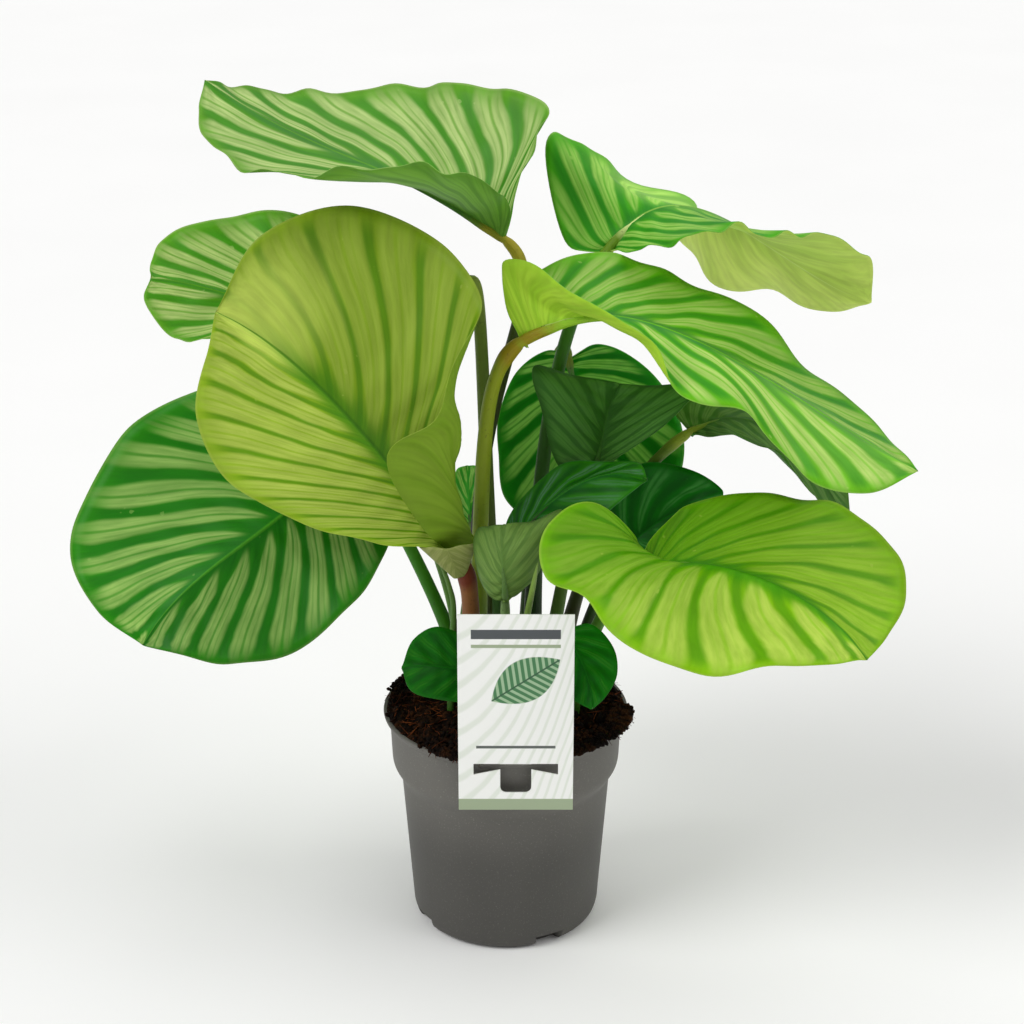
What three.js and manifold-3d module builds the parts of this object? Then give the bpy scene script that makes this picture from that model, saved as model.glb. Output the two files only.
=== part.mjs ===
// Potted calathea: nursery pot, soil, hanging label card, and broad leaves on tall stalks.
// Millimetres, +Z up, origin in the middle of the pot's foot, the label faces -Y.
import * as THREE from "three";
import { mergeVertices } from "three/addons/utils/BufferGeometryUtils.js";
import Module from "manifold-3d";

const wasm = await Module();
wasm.setup();

// Driving sizes of the pot.
const POT_HEIGHT = 158.5;
const LIP_RADIUS = 85;
const BAND_RADIUS = 80.5;
const BAND_FOOT_RADIUS = 79.2;
const BAND_FOOT_HEIGHT = 122;
const BODY_TOP_RADIUS = 73;
const BODY_TOP_HEIGHT = 110;
const FOOT_RADIUS = 65.5;
const WALL = 1.6;
const FLOOR_HEIGHT = 5;
const FOOT_ROUND = 8;
const BAND_OVERHANG = 4;
const LIP_FLARE = 5;
const LIP_WALL = 4;
const POT_SIDES = 48;
const CUT_COUNT = 4;
const CUT_START = THREE.MathUtils.degToRad(-62);
const CUT_WIDTH = 17;
const CUT_HEIGHT = 9;
const CUT_DEPTH = 12;
const CUT_INSET = 4;

// Driving sizes of the soil.
const CLEARANCE = 0.35;
const SOIL_EDGE_HEIGHT = 153.5;
const SOIL_HEAP = 13;
const SOIL_RINGS = 7;
const SOIL_SIDES = 36;
const SOIL_DROP = 4;
// Lumps of the soil's top: height, how many around, twist from middle to edge, start angle.
const SOIL_LUMPS = [
  [1.6, 3, 5, 0],
  [1.3, 5, -9, 1],
];
const HOLE_DEPTH = 26;

// Driving sizes of the label card.
const LABEL_WIDTH = 76;
const LABEL_HEIGHT = 143;
const LABEL_BOTTOM = 125;
const LABEL_CENTRE_X = 7;
const LABEL_FRONT_Y = -87.6;
const LABEL_THICKNESS = 0.9;
const TAB_WIDTH = 21;
const TAB_DEPTH = 34;
const ARM_SPAN = 56;
const TAB_REACH = 15;
const TONGUE_CUT = 22;
const ARM_CUT = 7;
const TAB_LIFT = 0.6;

// How finely a blade and a stalk are divided.
const LARGE_LEAF = 100;
const LARGE_STEPS = [14, 4];
const SMALL_STEPS = [9, 3];
const STALK_STEPS = 11;
const STALK_SIDES = 6;
const BLADE_THICKNESS = 0.8;
const VEIN_LEAN = 0.12;
const VEIN_BOW = 0.03;
const JOINT_GAP = 1.6;
const NECK = 0.6;
const HOLE_MARGIN = 0.5;

const POT_COLOUR = 0x4a4745;
const SOIL_COLOUR = 0x2c2019;
const CARD_COLOUR = 0xe9efe6;
const SHOOT_COLOUR = 0x9dba55;
const COLOURS = {
  banded: { blade: 0x2f8a2f, stalk: 0x7f9a45 },
  fresh: { blade: 0x9ccb3a, stalk: 0x86a94a },
  dark: { blade: 0x1f5f33, stalk: 0x5d7a3c },
  grey: { blade: 0x6d8a66, stalk: 0x8ba36a },
};

// Each leaf: four points of its midrib from base to tip, and three directions that its upper
// face looks in. Each half: the points that its margin passes from base to tip, how far the
// half bulges outwards and how far it sags, from base to tip. The stalk: its foot on the soil,
// how it sets off, how long it follows the midrib's direction, and its radius at both ends.
const LEAVES = [
  {
    name: "high_left",
    kind: "banded",
    midrib: [[0, 30, 484], [-60, 45, 517], [-127, 62, 542], [-199, 85, 578]],
    up: [[0.1, -0.1, 1], [0, -0.1, 1], [0, -0.1, 1]],
    left: {
      margin: [
        [2, 12, 514], [-23, -34, 543], [-66, -36, 550], [-122, -22, 541], [-169, 6, 539],
        [-198, 42, 557],
      ],
      out: [0, 0, 0],
      sag: [6, 6, 2],
    },
    right: {
      margin: [
        [12, 35, 531], [27, 52, 568], [-19, 92, 573], [-66, 125, 566], [-129, 137, 559],
        [-173, 122, 565],
      ],
      out: [0, 0, 0],
      sag: [6, 6, 2],
    },
    stalk: { foot: [-8, 29], rise: [-44, 9, 220], bend: 58, radius: [5.4, 3.4] },
  },
  {
    name: "back_left",
    kind: "banded",
    midrib: [[-88, 40, 409], [-138, 48, 425], [-191, 55, 441], [-239, 60, 449]],
    up: [[0, -0.5, 1], [0, -0.6, 1], [0, -0.6, 1]],
    left: {
      margin: [
        [-100, 20, 391], [-136, 10, 395], [-169, 15, 412], [-199, 25, 418], [-221, 35, 414],
        [-242, 50, 435],
      ],
      out: [0, 0, 0],
      sag: [6, 6, 2],
    },
    right: {
      margin: [
        [-81, 60, 434], [-112, 80, 470], [-148, 95, 486], [-192, 98, 481], [-229, 90, 472],
        [-240, 76, 457],
      ],
      out: [0, 0, 0],
      sag: [6, 6, 2],
    },
    stalk: { foot: [-6, 13], rise: [-20, 8, 510], bend: 92, radius: [5.2, 3.8] },
  },
  {
    name: "front_left",
    kind: "fresh",
    midrib: [[-30, -34, 283], [-78, -36, 355], [-131, -34, 416], [-183, -38, 456]],
    up: [[0.1, -1, 0.3], [0, -1, 0.35], [0, -1, 0.35]],
    left: {
      margin: [
        [-52, -52, 300], [-94, -62, 309], [-140, -60, 325], [-180, -54, 349], [-198, -46, 390],
        [-189, -40, 431],
      ],
      out: [0, 0, 0],
      sag: [4, 6, 2],
    },
    right: {
      margin: [
        [-55, -58, 318], [-74, -79, 372], [-44, -76, 399], [-31, -62, 430], [-16, -42, 465],
        [-41, -12, 494], [-99, 0, 515], [-154, -20, 501],
      ],
      out: [35, 65, 28, 5, 0, 0, 0],
      sag: [4, 4, 4, 4, 2],
    },
    stalk: { foot: [-22, -30], rise: [-4, 0, 70], bend: 24, radius: [8.5, 5] },
  },
  {
    name: "low_left",
    kind: "banded",
    midrib: [[-108, 16, 344], [-150, -14, 306], [-198, -42, 277], [-239, -62, 234]],
    up: [[-0.1, -0.8, 0.6], [-0.1, -0.8, 0.6], [-0.1, -0.8, 0.6]],
    left: {
      margin: [
        [-84, 2, 344], [-71, -12, 323], [-78, -28, 289], [-100, -50, 260], [-137, -66, 232],
        [-180, -76, 227], [-213, -72, 232],
      ],
      out: [0, 0, 0],
      sag: [4, 6, 2],
    },
    right: {
      margin: [
        [-124, 6, 380], [-167, 18, 391], [-208, 24, 381], [-252, 18, 358], [-280, -6, 318],
        [-289, -30, 285], [-269, -52, 254],
      ],
      out: [0, 0, 0],
      sag: [4, 6, 2],
    },
    stalk: { foot: [-24, 4], rise: [6, 2, 46], bend: 12, radius: [5.2, 3.8] },
  },
  {
    name: "high_right",
    kind: "banded",
    midrib: [[68, 56, 469], [122, 66, 497], [181, 60, 469], [245, 44, 437]],
    up: [[0, -0.5, 1], [0.1, 0.2, 1], [0.1, 0.8, 1]],
    left: {
      margin: [
        [40, 62, 474], [27, 86, 536], [51, 106, 532], [76, 122, 508], [130, 130, 483],
        [124, 124, 458], [146, 112, 430], [184, 96, 428], [222, 68, 423],
      ],
      out: [0, 0, 0],
      sag: [6, 6, 2],
    },
    right: {
      margin: [
        [88, 28, 478], [113, -4, 493], [143, -10, 504], [173, 0, 495], [200, 6, 495],
        [238, 26, 474],
      ],
      out: [0, 0, 0],
      sag: [6, 6, 2],
    },
    stalk: { foot: [18, 18], rise: [0, 4, 230], bend: 50, radius: [5.6, 4.2] },
  },
  {
    name: "mid_right",
    kind: "banded",
    midrib: [[10, -20, 430], [84, -40, 451], [167, -70, 420], [258, -95, 370]],
    up: [[0, -0.1, 1], [0.2, -0.1, 1], [0.4, -0.1, 1]],
    left: {
      margin: [
        [4, 4, 451], [23, 25, 466], [71, 40, 473], [111, 41, 456], [158, 25, 441],
        [203, 0, 403], [240, -42, 381],
      ],
      out: [0, 0, 0],
      sag: [10, 6, 2],
    },
    right: {
      margin: [
        [0, -14, 456], [2, -8, 482], [42, -60, 477], [88, -92, 453], [115, -101, 418],
        [151, -107, 412], [185, -109, 371], [225, -112, 362],
      ],
      out: [0, 0, 0, 0, 0],
      sag: [14, 10, -4, -4, 0],
    },
    stalk: { foot: [-22, -9], rise: [9, 0, 200], bend: 40, radius: [6.4, 4.4] },
  },
  {
    name: "centre_back",
    kind: "banded",
    midrib: [[44, 94, 381], [51, 86, 346], [58, 74, 309], [64, 60, 267]],
    up: [[0, -1, 0.3], [0, -1, 0.3], [0, -1, 0.3]],
    left: {
      margin: [
        [66, 98, 390], [94, 102, 376], [117, 98, 349], [126, 84, 317], [116, 74, 283],
        [91, 66, 267],
      ],
      out: [0, 0, 0],
      sag: [4, 6, 2],
    },
    right: {
      margin: [
        [28, 94, 387], [7, 100, 368], [-5, 94, 338], [-5, 84, 313], [0, 74, 283], [28, 66, 265],
      ],
      out: [0, 0, 0],
      sag: [4, 6, 2],
    },
    stalk: { foot: [12, 46], rise: [8, 84, 200], bend: 30, radius: [4.2, 3.2] },
  },
  {
    name: "centre",
    kind: "grey",
    midrib: [[58, 12, 324], [64, 20, 344], [69, 28, 365], [77, 32, 384]],
    up: [[0, 1, 0.3], [0, 1, 0.4], [0, 1, 0.5]],
    left: {
      margin: [[76, 10, 339], [97, 8, 355], [123, 10, 380], [131, 18, 388], [104, 28, 384]],
      out: [0, 0, 0],
      sag: [4, 8, 2],
    },
    right: {
      margin: [[44, 10, 324], [32, 2, 344], [24, -2, 377], [18, -4, 408], [46, 18, 395]],
      out: [0, 0, 0],
      sag: [8, 10, 2],
    },
    stalk: { foot: [26, -4], rise: [4, 0, 80], bend: 30, radius: [6, 3.2] },
  },
  {
    name: "back_right",
    kind: "dark",
    midrib: [[126, 46, 344], [164, 44, 354], [201, 36, 333], [235, 26, 284]],
    up: [[0, 0.1, 1], [0, 0.1, 1], [0.6, 0.1, 1]],
    left: {
      margin: [
        [117, 54, 356], [134, 66, 365], [170, 74, 361], [205, 64, 346], [230, 48, 315],
        [237, 36, 294],
      ],
      out: [0, 0, 0],
      sag: [4, 4, 2],
    },
    right: {
      margin: [
        [142, 24, 349], [157, 8, 355], [179, -2, 348], [197, 0, 330], [210, 8, 309],
        [223, 16, 292],
      ],
      out: [0, 0, 0],
      sag: [4, 4, 2],
    },
    stalk: { foot: [36, 36], rise: [8, 6, 120], bend: 40, radius: [5.4, 3.2] },
  },
  {
    name: "low_centre",
    kind: "dark",
    midrib: [[1, -32, 291], [28, -28, 320], [59, -24, 338], [94, -20, 335]],
    up: [[0, -0.5, 1], [0, -0.5, 1], [0, -0.5, 1]],
    left: {
      margin: [[1, -22, 306], [14, -12, 322], [38, -4, 340], [67, 0, 340], [88, -6, 342]],
      out: [0, 0, 0],
      sag: [4, 4, 2],
    },
    right: {
      margin: [[10, -36, 288], [30, -40, 294], [52, -42, 308], [72, -38, 324], [87, -30, 333]],
      out: [0, 0, 0],
      sag: [4, 4, 2],
    },
    stalk: { foot: [4, -25], rise: [-6, 0, 60], bend: 20, radius: [5.4, 3.2] },
  },
  {
    name: "low_back",
    kind: "dark",
    midrib: [[79, 24, 261], [99, 26, 281], [123, 30, 294], [148, 28, 301]],
    up: [[0, -1, 0.3], [0, -1, 0.3], [0, -1, 0.3]],
    left: {
      margin: [[64, 28, 286], [70, 34, 310], [96, 38, 325], [128, 38, 319], [148, 32, 308]],
      out: [0, 0, 0],
      sag: [4, 4, 2],
    },
    right: {
      margin: [[93, 20, 251], [115, 20, 254], [137, 22, 268], [153, 26, 287]],
      out: [0, 0, 0],
      sag: [4, 4, 2],
    },
    stalk: { foot: [42, 12], rise: [4, 0, 50], bend: 20, radius: [6, 3] },
  },
  {
    name: "low_right",
    kind: "fresh",
    midrib: [[91, -45, 282], [134, -66, 293], [186, -88, 282], [232, -105, 244]],
    up: [[0, -0.5, 1], [0.1, -0.5, 1], [0.3, -0.5, 1]],
    left: {
      margin: [
        [96, -35, 298], [124, -5, 312], [172, 10, 313], [218, 0, 310], [253, -20, 294],
        [264, -55, 269], [247, -85, 251],
      ],
      out: [0, 0, 0],
      sag: [6, 8, 2],
    },
    right: {
      margin: [
        [83, -52, 311], [56, -58, 334], [26, -70, 323], [26, -88, 296], [54, -100, 281],
        [79, -118, 259], [123, -130, 247], [170, -132, 252], [208, -122, 250],
      ],
      out: [0, 0, 0],
      sag: [4, 6, 2],
    },
    stalk: { foot: [42, -16], rise: [4, 0, 60], bend: 24, radius: [5.4, 3.6] },
  },
  {
    name: "cup",
    kind: "grey",
    midrib: [[0, -64, 269], [-1, -72, 289], [-2, -68, 305], [0, -56, 318]],
    up: [[0, 1, 0.1], [0, 1, 0.2], [0, 1, 0.3]],
    left: {
      margin: [[11, -60, 273], [24, -58, 289], [38, -52, 325], [18, -50, 318]],
      out: [0, 0, 0],
      sag: [6, 8, 4],
    },
    right: {
      margin: [[-11, -60, 270], [-19, -56, 287], [-19, -50, 311], [-10, -50, 314]],
      out: [0, 0, 0],
      sag: [6, 8, 4],
    },
    stalk: { foot: [1, -47], rise: [0, 0, 30], bend: 15, radius: [3.4, 2.6] },
  },
  {
    name: "small_left",
    kind: "dark",
    midrib: [[-13, -58, 213], [-33, -66, 219], [-51, -72, 224], [-68, -76, 224]],
    up: [[0, -0.8, 0.6], [0, -0.8, 0.6], [0, -0.8, 0.6]],
    left: {
      margin: [[-20, -72, 199], [-42, -78, 202], [-61, -80, 209]],
      out: [0, 0, 0],
      sag: [2, 3, 1],
    },
    right: {
      margin: [[-24, -45, 230], [-45, -48, 241], [-61, -58, 236]],
      out: [0, 0, 0],
      sag: [2, 3, 1],
    },
    stalk: { foot: [-16, -57], rise: [0, 0, 14], bend: 10, radius: [2.6, 2.2] },
  },
  {
    name: "small_right",
    kind: "dark",
    midrib: [[37, -60, 243], [48, -66, 229], [55, -74, 213], [57, -82, 197]],
    up: [[0.1, -1, 0.3], [0.1, -1, 0.3], [0.1, -1, 0.3]],
    left: {
      margin: [[56, -52, 245], [71, -58, 232], [74, -68, 216], [66, -78, 204]],
      out: [0, 0, 0],
      sag: [2, 3, 1],
    },
    right: {
      margin: [[28, -66, 233], [33, -72, 214], [45, -80, 203]],
      out: [0, 0, 0],
      sag: [2, 3, 1],
    },
    stalk: { foot: [30, -48], rise: [0, 0, 40], bend: 15, radius: [2.6, 2.2] },
  },
  {
    name: "behind",
    kind: "banded",
    midrib: [[-23, 38, 276], [-25, 42, 292], [-26, 50, 304], [-27, 58, 315]],
    up: [[0, -1, 0.5], [0, -1, 0.5], [0, -1, 0.5]],
    left: {
      margin: [[-31, 40, 285], [-37, 46, 301], [-34, 54, 313]],
      out: [0, 0, 0],
      sag: [2, 3, 1],
    },
    right: {
      margin: [[-15, 40, 287], [-13, 46, 303], [-19, 54, 315]],
      out: [0, 0, 0],
      sag: [2, 3, 1],
    },
    stalk: { foot: [-34, 34], rise: [0, 4, 60], bend: 20, radius: [3.4, 2.6] },
  },
  {
    name: "rear",
    kind: "banded",
    midrib: [[-50, 80, 296], [-72, 130, 312], [-104, 180, 308], [-140, 228, 286]],
    up: [[0, 0, 1], [0, 0, 1], [0, 0.3, 1]],
    left: {
      margin: [
        [-80, 72, 300], [-124, 92, 308], [-158, 132, 306], [-172, 178, 296], [-162, 214, 286],
      ],
      out: [0, 0, 0],
      sag: [6, 6, 2],
    },
    right: {
      margin: [
        [-44, 106, 300], [-46, 150, 308], [-58, 192, 304], [-88, 224, 294], [-116, 236, 286],
      ],
      out: [0, 0, 0],
      sag: [6, 6, 2],
    },
    stalk: { foot: [-10, 50], rise: [-6, 20, 90], bend: 30, radius: [4.4, 3.4] },
  },
];

// Young shoots without a blade yet: foot, the points that each passes, radius at foot and tip.
const SHOOTS = [
  {
    name: "left",
    foot: [-30, -14],
    path: [[-32, -15, 200], [-37, -14, 240], [-46, -9, 272], [-56, -5, 301]],
    radius: [3, 1.6],
  },
  {
    name: "front",
    foot: [-38, -22],
    path: [[-37, -22, 200], [-35, -20, 240], [-38, -18, 258], [-46, -14, 280]],
    radius: [2.6, 1.4],
  },
  {
    name: "middle",
    foot: [9, -38],
    path: [[10, -46, 200], [12, -62, 240], [21, -78, 300]],
    radius: [5.4, 1.4],
  },
];

function vector(point) {
  return new THREE.Vector3(...point);
}

function solidOf(geometry) {
  const bare = new THREE.BufferGeometry();
  bare.setAttribute("position", geometry.getAttribute("position").clone());
  if (geometry.index) bare.setIndex(geometry.index.clone());
  const merged = mergeVertices(bare, 1e-4);
  const vertProperties = Float32Array.from(merged.getAttribute("position").array);
  const triVerts = Uint32Array.from(merged.index.array);
  return new wasm.Manifold(new wasm.Mesh({ numProp: 3, vertProperties, triVerts }));
}

function indexedGeometry(positions, index) {
  const geometry = new THREE.BufferGeometry();
  geometry.setAttribute("position", new THREE.Float32BufferAttribute(positions, 3));
  geometry.setIndex([...index]);
  return geometry;
}

function geometryOf(solid) {
  const mesh = solid.getMesh();
  return indexedGeometry(mesh.vertProperties, mesh.triVerts);
}

function makeMesh(name, geometry, colour, roughness) {
  const material = new THREE.MeshStandardMaterial({ color: colour, roughness, metalness: 0 });
  material.name = name;
  const mesh = new THREE.Mesh(geometry, material);
  mesh.name = name;
  return mesh;
}

function turned(profile, sides) {
  const points = profile.map(([r, z]) => new THREE.Vector2(r, z));
  const geometry = new THREE.LatheGeometry(points, sides);
  geometry.rotateX(Math.PI / 2);
  return solidOf(geometry);
}

// A smooth change over a leaf's length through evenly spaced values from base to tip.
function along(values, t) {
  const s = Math.min(1, Math.max(0, t)) * (values.length - 1);
  const first = Math.min(values.length - 2, Math.floor(s));
  const f = s - first;
  const ease = f * f * (3 - 2 * f);
  return values[first] + (values[first + 1] - values[first]) * ease;
}

function midribCurve(points) {
  const [a, b, c, d] = points.map(vector);
  const mix = (p, q, r, s) =>
    a.clone().multiplyScalar(p).addScaledVector(b, q).addScaledVector(c, r).addScaledVector(d, s);
  const first = mix(-5 / 6, 3, -1.5, 1 / 3);
  const second = mix(1 / 3, -1.5, 3, -5 / 6);
  return new THREE.CubicBezierCurve3(a, first, second, d);
}

// Midrib point with its forward, upward and rightward directions, t of the way to the tip.
function midribFrame(leaf, t) {
  const tangent = leaf.curve.getTangent(t);
  const up = new THREE.Vector3(
    ...[0, 1, 2].map((k) => along(leaf.up.map((hint) => hint[k]), t)),
  );
  up.addScaledVector(tangent, -up.dot(tangent)).normalize();
  return { point: leaf.curve.getPoint(t), tangent, up, right: tangent.clone().cross(up) };
}

// Point of the blade's middle surface on vein u (0 base, 1 tip), v of the way to the margin,
// on side -1 (left) or 1 (right).
function bladePoint(leaf, u, v, side) {
  const half = side < 0 ? leaf.left : leaf.right;
  const round = Math.sin(Math.PI * u);
  const t = u - VEIN_LEAN * round;
  const { point, tangent, up, right } = midribFrame(leaf, t);
  const margin = half.curve.getPoint(u);
  const belly = point.clone().add(margin).multiplyScalar(0.5);
  belly.addScaledVector(right, side * along(half.out, t));
  belly.addScaledVector(up, -along(half.sag, t));
  const bow = VEIN_BOW * leaf.length * round * 4 * v * (1 - v);
  return point
    .multiplyScalar((1 - v) ** 2)
    .addScaledVector(belly, 2 * v * (1 - v))
    .addScaledVector(margin, v * v)
    .addScaledVector(tangent, -bow);
}

function bladeGeometry(leaf) {
  const [steps, halfSteps] = leaf.length > LARGE_LEAF ? LARGE_STEPS : SMALL_STEPS;
  const columns = 2 * halfSteps + 1;
  const rows = steps - 1;
  const middle = [];
  for (let i = 1; i <= rows; i += 1) {
    for (let j = -halfSteps; j <= halfSteps; j += 1) {
      middle.push(bladePoint(leaf, i / steps, Math.abs(j) / halfSteps, j < 0 ? -1 : 1));
    }
  }
  const base = middle.push(leaf.curve.getPoint(0)) - 1;
  const tip = middle.push(leaf.curve.getPoint(1)) - 1;
  const at = (i, j) => (i < 0 ? base : i >= rows ? tip : i * columns + j);
  const faces = [];
  for (let i = -1; i < rows; i += 1) {
    for (let j = 0; j < columns - 1; j += 1) {
      const quad = [at(i, j), at(i, j + 1), at(i + 1, j + 1), at(i + 1, j)];
      if (quad[0] !== quad[1]) faces.push([quad[0], quad[1], quad[2]]);
      if (quad[2] !== quad[3]) faces.push([quad[0], quad[2], quad[3]]);
    }
  }
  const sheet = new THREE.BufferGeometry().setFromPoints(middle);
  sheet.setIndex(faces.flat());
  sheet.computeVertexNormals();
  const normals = sheet.getAttribute("normal");
  const positions = [];
  for (const sign of [1, -1]) {
    middle.forEach((point, n) => {
      const normal = new THREE.Vector3().fromBufferAttribute(normals, n);
      const shifted = point.clone().addScaledVector(normal, (sign * BLADE_THICKNESS) / 2);
      positions.push(shifted.x, shifted.y, shifted.z);
    });
  }
  const lower = middle.length;
  const index = faces.flat();
  for (const [a, b, c] of faces) index.push(lower + a, lower + c, lower + b);
  for (let i = -1; i < rows; i += 1) {
    const left = [at(i, 0), at(i + 1, 0)];
    const right = [at(i + 1, columns - 1), at(i, columns - 1)];
    for (const [a, b] of [left, right]) {
      index.push(a, b, lower + b, a, lower + b, lower + a);
    }
  }
  return indexedGeometry(positions, index);
}

function stalkCurve(leaf, bottom) {
  const { foot, rise, bend } = leaf.stalk;
  const start = new THREE.Vector3(foot[0], foot[1], bottom);
  const tangent = leaf.curve.getTangent(0);
  const end = leaf.curve.getPoint(0).addScaledVector(tangent, -JOINT_GAP);
  const early = start.clone().add(vector(rise));
  const late = end.clone().addScaledVector(tangent, -bend);
  return new THREE.CubicBezierCurve3(start, early, late, end);
}

// A round stem along a curve, from its thick foot to its thin end, with a narrower last ring.
function stemGeometry(curve, [thick, thin]) {
  const frames = curve.computeFrenetFrames(STALK_STEPS, false);
  const positions = [];
  for (let i = 0; i <= STALK_STEPS; i += 1) {
    const centre = curve.getPointAt(i / STALK_STEPS);
    const taper = thick + ((thin - thick) * i) / STALK_STEPS;
    const radius = i === STALK_STEPS ? taper * NECK : taper;
    for (let j = 0; j < STALK_SIDES; j += 1) {
      const angle = (2 * Math.PI * j) / STALK_SIDES;
      const rim = centre
        .clone()
        .addScaledVector(frames.normals[i], radius * Math.cos(angle))
        .addScaledVector(frames.binormals[i], radius * Math.sin(angle));
      positions.push(rim.x, rim.y, rim.z);
    }
  }
  positions.push(...curve.getPointAt(0).toArray(), ...curve.getPointAt(1).toArray());
  const foot = (STALK_STEPS + 1) * STALK_SIDES;
  const index = [];
  for (let j = 0; j < STALK_SIDES; j += 1) {
    const k = (j + 1) % STALK_SIDES;
    for (let i = 0; i < STALK_STEPS; i += 1) {
      const a = i * STALK_SIDES;
      const b = a + STALK_SIDES;
      index.push(a + j, a + k, b + k, a + j, b + k, b + j);
    }
    const end = STALK_STEPS * STALK_SIDES;
    index.push(foot, k, j, foot + 1, end + j, end + k);
  }
  return indexedGeometry(positions, index);
}

// Height and radius of the pot's inner wall, from its floor up.
const INNER_WALL = [
  [FLOOR_HEIGHT, FOOT_RADIUS - WALL - FOOT_ROUND / 2],
  [FLOOR_HEIGHT + FOOT_ROUND / 2, FOOT_RADIUS - WALL],
  [BODY_TOP_HEIGHT, BODY_TOP_RADIUS - WALL],
  [BAND_FOOT_HEIGHT, BAND_FOOT_RADIUS - WALL],
  [POT_HEIGHT - LIP_FLARE, BAND_RADIUS - WALL],
  [POT_HEIGHT, LIP_RADIUS - LIP_WALL],
];

function potSolid() {
  const outer = [
    [0, 0],
    [FOOT_RADIUS - FOOT_ROUND, 0],
    [FOOT_RADIUS - FOOT_ROUND / 3, FOOT_ROUND / 4],
    [FOOT_RADIUS, FOOT_ROUND],
    [BODY_TOP_RADIUS, BODY_TOP_HEIGHT],
    [BAND_FOOT_RADIUS - 1, BAND_FOOT_HEIGHT - BAND_OVERHANG],
    [BAND_FOOT_RADIUS, BAND_FOOT_HEIGHT],
    [BAND_RADIUS, POT_HEIGHT - LIP_FLARE - 1],
    [LIP_RADIUS - 0.5, POT_HEIGHT - LIP_FLARE / 2],
    [LIP_RADIUS, POT_HEIGHT - 1],
    [LIP_RADIUS - 0.6, POT_HEIGHT],
  ];
  const inner = [...INNER_WALL].reverse().map(([z, r]) => [r, z]);
  let pot = turned([...outer, ...inner, [0, FLOOR_HEIGHT]], POT_SIDES);
  for (let n = 0; n < CUT_COUNT; n += 1) {
    const angle = CUT_START + (2 * Math.PI * n) / CUT_COUNT;
    const box = new THREE.BoxGeometry(CUT_WIDTH, CUT_DEPTH, 2 * CUT_HEIGHT);
    box.translate(0, FOOT_RADIUS + CUT_DEPTH / 2 - CUT_INSET, 0);
    box.rotateZ(angle);
    pot = pot.subtract(solidOf(box));
  }
  return pot;
}

// Height of the soil's uneven top above its edge at radius share r and angle a.
function soilTop(r, a) {
  const heap = SOIL_HEAP * (1 - r * r);
  let top = SOIL_EDGE_HEIGHT + heap;
  for (const [high, around, twist, start] of SOIL_LUMPS) {
    top += high * r * Math.sin(around * a + twist * r + start);
  }
  return top;
}

function innerRadius(z) {
  const n = INNER_WALL.findIndex(([height]) => height >= z);
  if (n <= 0) return INNER_WALL[0][1];
  const [[z0, r0], [z1, r1]] = [INNER_WALL[n - 1], INNER_WALL[n]];
  return r0 + ((r1 - r0) * (z - z0)) / (z1 - z0);
}

function soilSolid() {
  const bottom = FLOOR_HEIGHT + CLEARANCE;
  const levels = [bottom, ...INNER_WALL.slice(1, 4).map(([z]) => z)];
  const positions = [0, 0, bottom];
  const ring = (radius, height) => {
    for (let j = 0; j < SOIL_SIDES; j += 1) {
      const angle = (2 * Math.PI * j) / SOIL_SIDES;
      const z = typeof height === "function" ? height(angle) : height;
      positions.push(radius * Math.cos(angle), radius * Math.sin(angle), z);
    }
  };
  for (const z of levels) ring(innerRadius(z) - CLEARANCE * 2, z);
  const edge = innerRadius(SOIL_EDGE_HEIGHT - SOIL_DROP) - CLEARANCE * 2;
  for (let n = SOIL_RINGS; n > 0; n -= 1) {
    const share = n / SOIL_RINGS;
    ring(edge * share, (angle) => soilTop(share, angle));
  }
  positions.push(0, 0, soilTop(0, 0));
  const rings = levels.length + SOIL_RINGS;
  const top = positions.length / 3 - 1;
  const index = [];
  for (let j = 0; j < SOIL_SIDES; j += 1) {
    const k = (j + 1) % SOIL_SIDES;
    index.push(0, 1 + k, 1 + j);
    for (let n = 0; n < rings - 1; n += 1) {
      const a = 1 + n * SOIL_SIDES;
      const b = a + SOIL_SIDES;
      index.push(a + j, a + k, b + k, a + j, b + k, b + j);
    }
    const last = 1 + (rings - 1) * SOIL_SIDES;
    index.push(last + j, last + k, top);
  }
  return solidOf(indexedGeometry(positions, index));
}

function holeBottom([x, y]) {
  const share = Math.hypot(x, y) / innerRadius(SOIL_EDGE_HEIGHT);
  return soilTop(share, Math.atan2(y, x)) - HOLE_DEPTH;
}

function boxSolid(x0, x1, y0, y1, z0, z1) {
  const box = new THREE.BoxGeometry(x1 - x0, y1 - y0, z1 - z0);
  box.translate((x0 + x1) / 2, (y0 + y1) / 2, (z0 + z1) / 2);
  return solidOf(box);
}

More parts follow.
